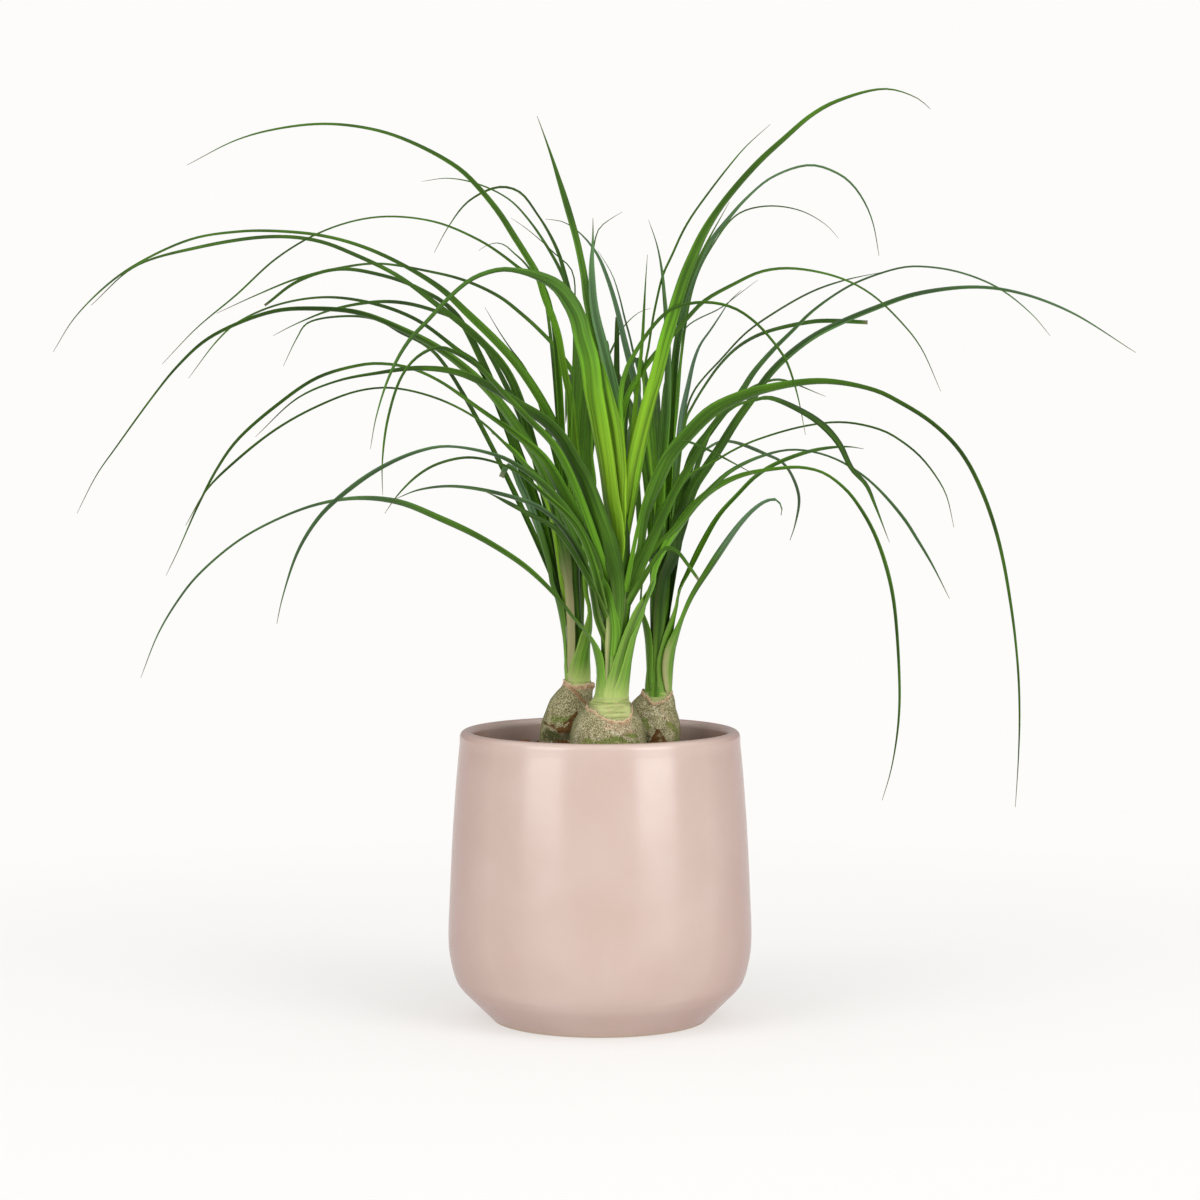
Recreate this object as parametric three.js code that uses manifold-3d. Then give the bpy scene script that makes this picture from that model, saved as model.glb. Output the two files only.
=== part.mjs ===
// A potted ponytail palm: three young plants in one dusty-pink ceramic pot, each with a
// swollen corky base and a fountain of long, narrow, arching leaves.
// Millimetres, +Z up. The origin is the centre of the pot's underside. +Y points away
// from the side that the plant is looked at from, and +X points to the right.

import * as THREE from "three";
import { mergeVertices } from "three/addons/utils/BufferGeometryUtils.js";
import Module from "manifold-3d";

const wasm = await Module();
wasm.setup();

// ---------------------------------------------------------------- driving dimensions

const FIT_GAP = 0.3; // clearance between pieces that rest on each other
const FULL_TURN = 2 * Math.PI;
const WELD = 1e-4; // points this close together are one point
const STREAM = { factor: 1664525, step: 1013904223, size: 2 ** 32 }; // of repeatable random numbers

const POT = {
  height: 145,
  wall: 6.7,
  floor: 7,
  sides: 48,
  lipSteps: 6,
  // Outside as [radius, height] pairs: the foot, a straight bevel, the belly, and the shoulder
  // below the rolled lip.
  outside: [
    [54, 0], [68.5, 14.8], [71.6, 19], [74.1, 27], [75.75, 38], [75, 64], [73.4, 98], [71.2, 127],
    [70, 138.5],
  ],
  // The same for the inside, from the lip down to the floor, before the wall is taken off.
  inside: [[70, 138.5], [73.4, 98], [75.75, 44], [70.7, 19], [59, 7]],
};

const SOIL = {
  level: 132.5, // at the pot's wall
  mound: 5, // extra height round the plants
  moundReach: 24,
  lump: 0.7, // height of each of the waves that make the surface uneven
  waves: [[0.31, 0.12], [-0.11, 0.27]], // radians per millimetre along x and y
  rings: 5,
  sectors: 30,
  seed: 7,
};

// Pieces of bark on the soil: thin five-sided slabs.
const BARK = {
  count: 16,
  lengths: [4, 8],
  widths: [0.55, 0.85], // for each millimetre of length, as for the rest
  narrowEnd: 0.36,
  wideEnd: 0.5,
  thickness: 0.32,
  sides: 5,
  tilt: 0.5,
  reach: 52, // how far from the pot's axis they lie
};

const CUTTER_REACH = 20; // how far a cut runs on past the rim

// Where each plant stands, its swollen base as [radius, height] pairs, and its leaf column as
// [x, height, radius], both lowest first. Leaves part from the column between two heights.
const PLANTS = {
  front: {
    x: 4,
    y: -18,
    bulb: [
      [7, 117], [13, 121], [17.2, 128], [19, 137.9], [18.9, 142.4], [18.2, 147.3], [16.6, 151.6],
      [14.8, 154.6], [12.9, 156.9], [10.9, 158.9], [9.5, 161], [8.6, 163.3], [8.1, 166.1],
    ],
    column: [
      [5.9, 166.1, 7.9], [6.1, 173.5, 8], [6.3, 183.4, 8.8], [6.5, 191.3, 9.9], [7.9, 204.2, 11.3],
      [8.9, 223, 11.1], [9.3, 241.8, 9.9], [9.7, 262.6, 6.9], [9.9, 276.4, 3],
    ],
    rootHeights: [182, 228],
  },
  left: {
    x: -14.5,
    y: 14,
    bulb: [
      [6, 119], [11, 122.5], [14.6, 129], [15.9, 135.5], [15.9, 140.5], [15.1, 145.6],
      [13.9, 149.6], [12.4, 153.7], [11.1, 157.2], [10.1, 160.2], [9.1, 163], [8, 165],
      [6.9, 166.8], [6.5, 168.3],
    ],
    column: [
      [-11.1, 168.3, 6.4], [-11.6, 178.9, 6.3], [-11.8, 188.9, 6.7], [-13, 199, 7.1],
      [-14.1, 209.1, 7.9], [-14.9, 221.2, 8.7], [-15.1, 237.4, 8.1], [-15.5, 257.5, 3.4],
    ],
    rootHeights: [184, 228],
  },
  right: {
    x: 26,
    y: 12,
    bulb: [
      [6, 119], [10.4, 122.5], [13.4, 129], [14.4, 135.7], [14.6, 140.7], [14.2, 146.3],
      [13.3, 150.8], [12.2, 154.1], [10.9, 157.2], [9.5, 159.7], [8.1, 161.7], [7, 163.2],
      [6.5, 164.4],
    ],
    column: [
      [28.8, 164.4, 6.4], [29.2, 173, 6.3], [29.5, 189.1, 7.5], [29.8, 205.2, 8.7],
      [30.2, 219.3, 9.1], [30.4, 237.5, 9.1], [30.6, 257.6, 5],
    ],
    rootHeights: [180, 226],
  },
};

const BULB_SIDES = 18;
const NECK_BEND = 11; // height over which a bulb's axis bends to its column's

// Dry papery remains of leaf bases round each neck. Their feet rest on the bulb's shoulder
// between two radii, and their tops are ragged.
const HUSKS = {
  front: { inner: 11.4, outer: 13.1, top: 160.8, flare: 0.3, ragged: 0.8, teeth: 5 },
  left: { inner: 7.8, outer: 9.6, top: 170, flare: 0.8, ragged: 1.6, teeth: 4 },
  right: { inner: 7.7, outer: 9.5, top: 166.8, flare: 0.8, ragged: 1.4, teeth: 5 },
};
const HUSK_THICKNESS = 0.9; // at the ragged top
const HUSK_LIFT = 0.5; // keeps a husk's foot off the flat sides of the bulb under it
const HUSK_SWELL = 2; // how often the teeth grow and shrink round the neck
const HUSK_SECTORS = 26;

const COLUMN = { sides: 14, twist: 0.07, groove: 0.9 }; // the sheaths' edges stand proud of the grooves
const ROOT_REACH = { oldest: 0.62, youngest: 0.18 }; // how far out a leaf starts, for each column radius

const BLADE = {
  straightStep: 75, // length of one facet of a straight blade
  bendStep: 22, // degrees that one facet of a tightly bent blade turns through
  leastFacets: 4,
  samples: 120, // points at which a blade's bend is measured
  rolledBy: 0.33, // share of its length by which a blade has its full roll
  tipWidth: 0.9,
  taper: 0.6, // power of the slow narrowing towards the tip
  sheath: 4, // extra width at the root
  sheathLength: 30,
  keelBase: 0.75, // thickness of a hair-thin blade
  keelShare: 0.14, // extra thickness for each millimetre of width
  leanPower: 1.5, // how late a leaf leans towards or away from the viewer
};

// How the leaves of the far side arch: shares of their reach, of their rise and of their droop.
const ARCH = [[0.08, 0.42, 0], [0.25, 0.8, 0], [0.52, 1, 0], [0.8, 1, 0.36], [1, 1, 1]];
const FAR_AGE = 0.7; // how far up the root heights the leaves of the far side part

// The eye that the leaf table is read from: distance in front of the pot's axis, height.
const EYE = { distance: 1640, height: 313 };

// Leaves as they are seen from the eye, oldest and outermost first:
// [width, end width, roll in degrees, how far back the tip lies, [x, z] points to the tip].
// The points lie in the plane y = 0 until they are moved along the line of sight.
const SEEN_LEAVES = {
  front: [
    [6, 0.9, 40, -90, [[16.5, 200], [36, 241.5], [60.5, 267], [100, 275.7], [129, 255], [146, 209],
      [149, 153], [141, 109.5]]],
    [5, 0.9, 40, -105, [[-10, 196.5], [-40, 228], [-80, 250], [-120, 260.2], [-160, 250], [-200, 222],
      [-229, 171]]],
    [5, 0.9, 35, -170, [[-4, 196], [-20, 247], [-50, 262.5], [-73, 266.2], [-102, 260]]],
    [6, 0.9, 40, -80, [[-10, 243], [-40, 276], [-75, 286], [-110, 274.5], [-140, 250], [-161, 198]]],
    [7, 0.9, 35, -20, [[-8, 243], [-40, 290], [-80, 318.5], [-110, 327], [-160, 306.5], [-200, 256],
      [-216, 222]]],
    [9, 0.9, 35, -60, [[4.4, 240], [-14, 280], [-50, 312.5], [-90, 324.5], [-130, 318.5], [-171, 291]]],
    [4, 0.9, 30, -140, [[-10, 243], [-30, 264], [-50, 277.5], [-65, 280.5], [-90, 272], [-107, 253]]],
    [3, 0.9, 30, -110, [[-20, 243], [-36, 253], [-57, 263.8]]],
    [4, 0.9, 30, -45, [[-40, 279.6], [-60, 299], [-103, 315], [-140, 306], [-180, 279.5], [-206, 247]]],
    [9, 0.9, 32, -40, [[17, 235], [35, 281], [69, 310], [110, 318], [149, 307.5], [182, 278], [204, 210.4],
      [209, 150], [207.6, 106]]],
    [4, 2.6, 30, -60, [[22, 222], [33, 236], [40, 233], [49, 220]]],
    [4, 0.9, 30, -90, [[24, 266], [38, 288], [55, 284], [77.5, 272]]],
    [5, 0.9, 40, -70, [[20, 225], [41, 248], [65, 273.6], [95.6, 284.4], [132, 271], [157, 238.5],
      [174, 210.5]]],
    [7, 0.9, 40, -140, [[36, 263], [57, 298], [84, 310.8], [111, 297], [132, 267], [144, 238.5]]],
    [3, 0.9, 30, -50, [[44, 271], [77, 289], [121, 298], [159, 281], [176, 246]]],
    [5, 0.9, 40, -110, [[-20, 282], [-50, 314.5], [-80, 334.9], [-98, 321], [-108, 262]]],
    [11, 0.9, 50, -60, [[4, 262], [-1, 302], [-11, 350], [-48, 373.3], [-85, 348.3], [-104, 321.5],
      [-114, 285]]],
    [4, 0.9, 35, -90, [[10.8, 297], [23, 341], [53.5, 357], [76.5, 347.8], [95.6, 319.6], [102, 292]]],
    [5, 0.9, 40, 5, [[14, 311], [44, 350], [95, 374], [134, 361.5], [169, 313.5]]],
    [6, 0.9, -40, -12, [[18.5, 310], [11.5, 340], [-1, 380], [-27, 398.5]]],
    [3, 0.9, -30, -18, [[19.5, 318], [6, 371], [-1, 383]]],
    [6, 0.9, 50, 3, [[8, 262], [-3, 340], [-12, 390], [-31, 449]]],
    [7, 0.9, -50, 4, [[10, 285], [0.5, 340], [-4.1, 378], [-3.5, 399]]],
    [9, 0.9, 40, -4, [[13.8, 250], [28, 320], [51, 390], [91, 437.5], [118, 457], [141, 462.4],
      [163, 452.5]]],
    [5, 0.9, 40, -12, [[24, 298], [43, 364], [64, 407]]],
    [4, 0.9, 60, 0, [[15, 280], [21, 340], [23.5, 381]]],
    [7, 0.9, 60, -22, [[11.4, 250], [13.5, 300], [18, 330]]],
    [7, 0.9, 60, -28, [[10, 250], [3, 300], [-3, 330]]],
  ],
  left: [
    [6, 2.6, 30, -30, [[-26, 228], [-35, 257], [-44, 276.5], [-49, 271]]],
    [4, 0.9, 30, -20, [[-22.5, 240], [-32, 270], [-54, 293]]],
    [7, 0.9, 30, 10, [[-28, 272], [-50, 307], [-80, 334], [-120, 352], [-160, 353], [-210, 325], [-240, 286],
      [-260, 253]]],
    [5, 0.9, 30, 150, [[-60, 325], [-90, 348], [-135, 359.8], [-180, 347], [-204, 320]]],
    [4, 0.9, 30, 200, [[-80, 330], [-100, 343], [-125, 350.5], [-145, 347], [-157, 326]]],
    [5, 0.9, 30, 170, [[-17.5, 222], [-28, 268], [-65, 344.5], [-105, 357.6], [-130, 354.4], [-162, 341]]],
    [7, 0.9, 30, 14, [[-19, 285], [-50, 336], [-100, 376.8], [-165, 392.5], [-220, 381], [-260, 350],
      [-271, 333]]],
    [7, 0.9, 40, 90, [[-44, 318], [-80, 355], [-120, 380], [-163, 389.5], [-230, 375], [-252, 356]]],
    [6, 3.2, 30, 130, [[-70, 349], [-90, 364], [-130, 373.5], [-166, 356]]],
    [4, 0.9, 30, 160, [[-10, 312], [-50, 360], [-85, 372.5], [-110, 376.4], [-150, 369], [-190, 352]]],
    [4, 0.9, 30, 20, [[-28, 365], [-60, 388], [-102, 399.6], [-160, 379], [-200, 344.5], [-217, 327]]],
    [4, 0.9, 30, 150, [[-28, 362], [-43, 382], [-51, 386.7], [-60, 383]]],
    [5, 0.9, 30, 40, [[-20, 270], [-34, 318], [-57, 355]]],
    [6, 0.9, 40, 100, [[-12.5, 350], [-26, 392.5], [-50, 414], [-65, 407], [-82, 382]]],
    [5, 0.9, 40, 130, [[-11, 345], [-25, 382.5], [-45, 408], [-75, 418.5], [-88, 417]]],
    [7, 0.9, 40, 0, [[-13.5, 290], [-24, 350], [-50, 401], [-90, 434.5], [-135, 445], [-180, 437],
      [-204, 425]]],
    [3, 0.9, 30, -6, [[-13, 345], [-22, 381], [-44, 399]]],
    [3, 0.9, 30, 60, [[0, 320], [6, 335], [20, 353], [25, 354.5]]],
    [3, 0.9, 30, 30, [[-6, 360], [-2, 390.5], [11, 402]]],
    [7, 1.6, 60, 20, [[-5, 265], [-6, 295], [-6.5, 330]]],
  ],
  right: [
    [7, 2.4, -40, -60, [[36, 186], [54, 224], [70, 247.6], [83, 259], [88, 259.6], [90, 252]]],
    [6, 0.9, -35, 60, [[34, 196], [51.4, 238], [68.6, 262], [86, 276.6], [105, 284], [131, 285]]],
    [8, 0.9, 32, 4, [[38, 239], [52, 276], [75, 310.5], [106, 341.6], [156, 362], [185, 365.4], [233, 353],
      [265.6, 332.7]]],
    [8, 0.9, 32, 70, [[46, 280], [70, 312], [96, 343.6], [131, 368.8], [159, 375], [197, 364.5], [223, 341]]],
    [5, 2.4, 35, 120, [[42, 298], [59, 326.6], [86, 344.3], [115, 348.4], [132.5, 347.6]]],
    [4, 0.9, 30, 130, [[42, 301], [59, 328.6], [86, 352.4], [121, 368.5], [140, 372.5]]],
    [5, 2, -40, 170, [[40, 270], [58, 288.3], [66, 288.8], [90, 279], [99, 261], [94.5, 239.6]]],
    [4, 0.9, 30, 150, [[55, 295], [83, 318.6], [112, 311]]],
    [6, 0.9, -45, 120, [[39, 290], [43, 315], [54.6, 344], [70, 363.6]]],
    [3, 0.9, 30, 90, [[36, 320], [41.5, 344], [60, 355], [78, 368.5]]],
    [7, 0.9, -40, 6, [[38, 330], [47, 370], [63, 397.6], [85, 418.8], [104, 424.8], [124.8, 415],
      [138, 380.5]]],
    [3, 0.9, 30, 110, [[45, 362], [68, 401], [82, 405], [99, 402.8], [118, 389]]],
    [4, 0.9, 40, -6, [[22, 320], [31.4, 371], [53.5, 411], [84, 445]]],
    [6, 0.9, -50, -4, [[30, 270], [33.4, 330], [30.4, 373], [24, 398]]],
    [3, 0.9, 50, 20, [[36, 288], [40, 330], [41, 350]]],
    [7, 0.9, 60, 12, [[31, 260], [32, 300], [34, 342]]],
  ],
};

// Leaves of the far side, which the rest hide: [width, azimuth in degrees, reach, crest height, tip height].
const FAR_LEAVES = {
  front: [
    [7, 74, 60, 330, 312],
    [7, 98, 42, 338, 324],
    [6, 88, 32, 350, 345],
  ],
  left: [
    [7, 88, 200, 318, 262],
    [7, 84, 195, 300, 215],
    [6, 80, 185, 326, 290],
    [6, 92, 150, 322, 296],
    [6, 80, 110, 332, 322],
  ],
  right: [
    [7, 90, 200, 314, 258],
    [7, 96, 195, 296, 212],
    [6, 100, 185, 312, 286],
    [6, 86, 150, 318, 290],
    [6, 99, 110, 330, 320],
  ],
};

const COLOURS = {
  pot: { color: 0xd8bfb3, roughness: 0.42, metalness: 0 },
  soil: { color: 0x3a2c22, roughness: 0.95, metalness: 0 },
  bulb: { color: 0x8d8a72, roughness: 0.85, metalness: 0 },
  husk: { color: 0x9a7150, roughness: 0.8, metalness: 0 },
  leaf: { color: 0x4f7d2f, roughness: 0.5, metalness: 0 },
};

// ------------------------------------------------------------------------- geometry

// A repeatable stream of numbers from 0 to 1.
function seededRandom(seed) {
  let state = seed;
  return () => {
    state = (state * STREAM.factor + STREAM.step) % STREAM.size;
    return state / STREAM.size;
  };
}

// A closed surface as a solid that can be joined or cut.
function solidFrom(geometry) {
  const bare = geometry.clone();
  bare.deleteAttribute("normal");
  bare.deleteAttribute("uv");
  const merged = mergeVertices(bare, WELD);
  return new wasm.Manifold(
    new wasm.Mesh({
      numProp: 3,
      vertProperties: merged.attributes.position.array,
      triVerts: new Uint32Array(merged.index.array),
    }),
  );
}

// The largest body of a solid, with any hollow that its joins closed off filled.
function largestBody(solid) {
  return solid.decompose().reduce((most, body) => (body.volume() > most.volume() ? body : most));
}

// A solid's surface as a geometry.
function geometryFrom(solid) {
  const mesh = solid.getMesh();
  const geometry = new THREE.BufferGeometry();
  geometry.setAttribute("position", new THREE.BufferAttribute(mesh.vertProperties, 3));
  geometry.setIndex(new THREE.BufferAttribute(mesh.triVerts, 1));
  geometry.computeVertexNormals();
  return geometry;
}

// Skin over rings of points, each counterclockwise as seen from the next one. Open rows
// of rings get flat ends, and closed rows run back into their first ring.
function skin(rings, closed = false) {
  const size = rings[0].length;
  const bands = closed ? rings.length : rings.length - 1;
  const faces = [];
  for (let i = 0; i < bands; i += 1) {
    const here = i * size;
    const next = ((i + 1) % rings.length) * size;
    for (let j = 0; j < size; j += 1) {
      const side = (j + 1) % size;
      faces.push(here + j, here + side, next + side);
      faces.push(here + j, next + side, next + j);
    }
  }
  if (!closed) {
    const top = (rings.length - 1) * size;
    for (let j = 1; j < size - 1; j += 1) {
      faces.push(0, j + 1, j);
      faces.push(top, top + j, top + j + 1);
    }
  }
  const geometry = new THREE.BufferGeometry();
  const places = rings.flat().flatMap((point) => point.toArray());
  geometry.setAttribute("position", new THREE.Float32BufferAttribute(places, 3));
  geometry.setIndex(faces);
  return geometry;
}

// A turned solid about the upright axis from [radius, height] pairs, lowest first.
function turned(profile, sides) {
  const points = profile.map(([radius, height]) => new THREE.Vector2(radius, height));
  return new THREE.LatheGeometry(points, sides).rotateX(Math.PI / 2);
}

// Points of a circular arc in a profile, from one angle to another in degrees.
function arcPoints(centreRadius, centreHeight, radius, from, to, steps) {
  const points = [];
  for (let i = 0; i <= steps; i += 1) {
    const angle = THREE.MathUtils.degToRad(from + ((to - from) * i) / steps);
    points.push([centreRadius + radius * Math.cos(angle), centreHeight + radius * Math.sin(angle)]);
  }
  return points;
}

// ------------------------------------------------------------------------------ pot

// The inside of the pot from the lip down to the floor's centre, shrunk by a clearance.
function potInside(clearance = 0) {
  const floor = POT.floor + clearance;
  const wall = POT.inside.map(([radius, height]) => [radius - POT.wall - clearance, Math.max(height, floor)]);
  return [...wall, [0, floor]];
}

function potGeometry() {
  const [shoulder] = POT.outside.at(-1);
  const round = POT.wall / 2;
  const lip = arcPoints(shoulder - round, POT.height - round, round, 0, 180, POT.lipSteps);
  return turned([[0, 0], ...POT.outside, ...lip, ...potInside()], POT.sides);
}

// ----------------------------------------------------------------------------- soil

// Height of the soil: level at the wall, mounded round the plants, gently lumpy.
function soilHeight(x, y) {
  const nearest = Math.min(...Object.values(PLANTS).map((plant) => Math.hypot(x - plant.x, y - plant.y)));
  const mound = SOIL.mound * Math.exp(-((nearest / SOIL.moundReach) ** 2));
  const lumps = SOIL.waves.map(([alongX, alongY]) => SOIL.lump * Math.sin(alongX * x + alongY * y));
  return SOIL.level + mound + lumps[0] + lumps[1];
}

// The soil's body: the pot's inside up to the lumpy surface.
function soilBody() {
  const wall = potInside(FIT_GAP).reverse();
  const rings = [];
  const ringAt = (radius, heightOf) =>
    Array.from({ length: SOIL.sectors }, (_, k) => {
      const angle = (FULL_TURN * k) / SOIL.sectors;
      const x = radius * Math.cos(angle);
      const y = radius * Math.sin(angle);
      return new THREE.Vector3(x, y, heightOf(x, y));
    });
  for (const [radius, height] of wall.slice(1, -1)) rings.push(ringAt(radius, () => height));
  const [rim] = wall.at(-1);
  for (let ring = SOIL.rings; ring >= 1; ring -= 1) {
    rings.push(ringAt((rim * ring) / SOIL.rings, soilHeight));
  }
  return solidFrom(skin(rings));
}

// A number between two limits.
function between([least, most], random) {
  return THREE.MathUtils.lerp(least, most, random());
}

// One piece of bark: a thin, uneven, tilted slab with its lower half in the soil.
function barkChip(random) {
  const length = between(BARK.lengths, random);
  const ends = [length * BARK.narrowEnd, length * BARK.wideEnd];
  const chip = new THREE.CylinderGeometry(...ends, length * BARK.thickness, BARK.sides);
  chip.scale(1, 1, between(BARK.widths, random));
  chip.rotateX(FULL_TURN / 4 + between([-BARK.tilt / 2, BARK.tilt / 2], random));
  chip.rotateZ(FULL_TURN * random());
  const angle = FULL_TURN * random();
  const radius = BARK.reach * Math.sqrt(random());
  const x = radius * Math.cos(angle);
  const y = radius * Math.sin(angle);
  return chip.translate(x, y, soilHeight(x, y));
}

// Where a swollen base's axis is at a height: under the bulb, then bent to the column.
function bulbCentre(plant, height) {
  const [columnX, neck] = plant.column[0];
  const bent = THREE.MathUtils.smoothstep(height, neck - NECK_BEND, neck);
  return THREE.MathUtils.lerp(plant.x, columnX, bent);
}

// Rings of a swollen base, grown by a clearance.
function bulbRings(plant, clearance = 0) {
  return plant.bulb.map(([radius, height], i) => {
    const centre = bulbCentre(plant, height);
    const level = i === 0 ? height - clearance : height;
    return Array.from({ length: BULB_SIDES }, (_, k) => {
      const angle = (FULL_TURN * k) / BULB_SIDES;
      const grown = radius + clearance;
      return new THREE.Vector3(centre + grown * Math.cos(angle), plant.y + grown * Math.sin(angle), level);
    });
  });
}

// The plain hole in the soil that a swollen base sits in.
function socketGeometry(plant) {
  const widest = plant.bulb.reduce((most, row, i, rows) => (row[0] > rows[most][0] ? i : most), 0);
  const rings = bulbRings(plant, FIT_GAP).slice(0, widest + 1);
  const mouth = rings.at(-1).map((point) => point.clone().setZ(POT.height + CUTTER_REACH));
  return skin([...rings, mouth]);
}

function soilGeometry() {
  const random = seededRandom(SOIL.seed);
  let soil = soilBody();
  for (let i = 0; i < BARK.count; i += 1) soil = soil.add(solidFrom(barkChip(random)));
  for (const plant of Object.values(PLANTS)) {
    soil = soil.subtract(solidFrom(socketGeometry(plant)));
  }
  return geometryFrom(soil);
}

// --------------------------------------------------------------------------- plants

// Height of a bulb's shoulder at a radius.
function shoulderHeight(plant, radius) {
  const above = plant.bulb.findIndex(([r], i) => i > 0 && r <= radius && plant.bulb[i - 1][0] > radius);
  const [[r0, z0], [r1, z1]] = [plant.bulb[above - 1], plant.bulb[above]];
  return THREE.MathUtils.mapLinear(radius, r0, r1, z0, z1);
}

// A ragged paper-like collar that stands on the bulb's shoulder and rings the neck.
function huskGeometry(plant, husk) {
  const seat = (radius) => shoulderHeight(plant, radius) + HUSK_LIFT;
  const rings = Array.from({ length: HUSK_SECTORS }, (_, k) => {
    const angle = (FULL_TURN * k) / HUSK_SECTORS;
    const top = husk.top + husk.ragged * Math.sin(husk.teeth * angle) * Math.cos(HUSK_SWELL * angle);
    const at = (radius, height) => {
      const x = bulbCentre(plant, height) + radius * Math.cos(angle);
      return new THREE.Vector3(x, plant.y + radius * Math.sin(angle), height);
    };
    return [
      at(husk.inner, seat(husk.inner)),
      at(husk.inner + husk.flare, top),
      at(husk.inner + husk.flare + HUSK_THICKNESS, top - HUSK_THICKNESS / 2),
      at(husk.outer, seat(husk.outer)),
    ];
  });
  return skin(rings, true);
}

// Centre and radius of a plant's leaf column at a height.
function columnAt(plant, height) {
  const rows = plant.column;
  const above = Math.max(1, rows.findIndex((row) => row[1] >= height));
  const [x0, z0, r0] = rows[above - 1];
  const [x1, z1, r1] = rows[above];
  const share = THREE.MathUtils.clamp((height - z0) / (z1 - z0), 0, 1);
  return { x: THREE.MathUtils.lerp(x0, x1, share), radius: THREE.MathUtils.lerp(r0, r1, share) };
}

// The column of leaf sheaths, ridged where one sheath wraps over the next.
function columnGeometry(plant) {
  const rings = plant.column.map(([x, height, radius], level) =>
    Array.from({ length: COLUMN.sides }, (_, k) => {
      const angle = (FULL_TURN * k) / COLUMN.sides + COLUMN.twist * level;
      const ridged = radius * (k % 2 === 0 ? 1 : COLUMN.groove);
      return new THREE.Vector3(x + ridged * Math.cos(angle), plant.y + ridged * Math.sin(angle), height);
    }),
  );
  rings[0].forEach((point) => point.setZ(plant.column[0][1] + FIT_GAP));
  return skin(rings);
}

// A point of the plane y = 0 moved along the line of sight to another depth.
function inDepth([x, z], depth) {
  const scale = (EYE.distance + depth) / EYE.distance;
  return new THREE.Vector3(x * scale, depth, EYE.height + (z - EYE.height) * scale);
}

// Where a leaf starts: sunk in the column, on the side that the leaf leans to.
function rootPoint(plant, age, heading) {
  const [lowest, highest] = plant.rootHeights;
  const height = THREE.MathUtils.lerp(lowest, highest, age);
  const column = columnAt(plant, height);
  const out = column.radius * THREE.MathUtils.lerp(ROOT_REACH.oldest, ROOT_REACH.youngest, age);
  return new THREE.Vector3(column.x + out * heading.x, plant.y + out * heading.y, height);
}

// A leaf of the table as a route in space.
function seenRoute(plant, age, depth, readings) {
  const tip = inDepth(readings.at(-1), plant.y + depth);
  const heading = new THREE.Vector2(tip.x - plant.x, tip.y - plant.y).normalize();
  const root = rootPoint(plant, age, heading);
  const flat = [[root.x, root.z], ...readings];
  const lengths = [0];
  for (let i = 1; i < flat.length; i += 1) {
    lengths.push(lengths[i - 1] + Math.hypot(flat[i][0] - flat[i - 1][0], flat[i][1] - flat[i - 1][1]));
  }
  const spots = readings.map((reading, i) => {
    const lean = (lengths[i + 1] / lengths.at(-1)) ** BLADE.leanPower;
    return inDepth(reading, root.y + (plant.y + depth - root.y) * lean);
  });
  return { heading, spots: [root, ...spots] };
}

// A leaf of the far side as a route in space: up, over its crest and down.
function farRoute(plant, age, azimuth, reach, crest, tipHeight) {
  const angle = THREE.MathUtils.degToRad(azimuth);
  const heading = new THREE.Vector2(Math.cos(angle), Math.sin(angle));
  const root = rootPoint(plant, age, heading);
  const spots = ARCH.map(([out, up, down]) => {
    const height = root.z + (crest - root.z) * up - (crest - tipHeight) * down;
    return new THREE.Vector3(root.x + heading.x * reach * out, root.y + heading.y * reach * out, height);
  });
  return { heading, spots: [root, ...spots] };
}

// Shares of a curve's length at which its facets meet, closer together where it bends.
function facetShares(curve) {
  const fine = curve.getSpacedPoints(BLADE.samples);
  const bend = THREE.MathUtils.degToRad(BLADE.bendStep);
  const facets = [0];
  let before = fine[1].clone().sub(fine[0]);
  for (let i = 1; i <= BLADE.samples; i += 1) {
    const along = fine[i].clone().sub(fine[i - 1]);
    facets.push(facets[i - 1] + along.length() / BLADE.straightStep + before.angleTo(along) / bend);
    before = along;
  }
  const total = facets.at(-1);
  const count = Math.max(BLADE.leastFacets, Math.round(total));
  return Array.from({ length: count + 1 }, (_, k) => {
    const wanted = Math.min(total, (total * k) / count);
    return facets.findIndex((value) => value >= wanted) / BLADE.samples;
  });
}

// A blade along a route: a flat upper face and a keel below, three faces round.
function bladeGeometry({ heading, spots }, width, endWidth, roll) {
  const curve = new THREE.CatmullRomCurve3(spots, false, "centripetal");
  const length = curve.getLength();
  const shares = facetShares(curve);
  const turn = THREE.MathUtils.degToRad(roll) * (heading.x < 0 ? -1 : 1);
  const across = new THREE.Vector3(-heading.y, heading.x, 0);
  const rings = shares.map((share) => {
    const place = curve.getPointAt(share);
    const along = curve.getTangentAt(share);
    const side = across.clone().addScaledVector(along, -across.dot(along)).normalize();
    side.applyAxisAngle(along, turn * Math.min(1, share / BLADE.rolledBy));
    const face = along.clone().cross(side);
    const sheath = BLADE.sheath * Math.exp(-(share * length) / BLADE.sheathLength);
    const wide = Math.max(endWidth, width * (1 - share) ** BLADE.taper) + sheath;
    const keel = BLADE.keelBase + BLADE.keelShare * wide;
    return [
      place.clone().addScaledVector(side, wide / 2),
      place.clone().addScaledVector(side, -wide / 2),
      place.clone().addScaledVector(face, -keel),
    ];
  });
  return skin(rings);
}

// Every leaf of a plant, as solids.
function bladesOf(name) {
  const plant = PLANTS[name];
  const seen = SEEN_LEAVES[name];
  const far = FAR_LEAVES[name];
  const seenBlades = seen.map(([width, endWidth, roll, depth, readings], i) => {
    const route = seenRoute(plant, i / (seen.length - 1), depth, readings);
    return solidFrom(bladeGeometry(route, width, endWidth, roll));
  });
  const farBlades = far.map(([width, ...arch], i) => {
    const route = farRoute(plant, (FAR_AGE * i) / far.length, ...arch);
    return solidFrom(bladeGeometry(route, width, BLADE.tipWidth, 0));
  });
  return [...seenBlades, ...farBlades];
}

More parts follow.
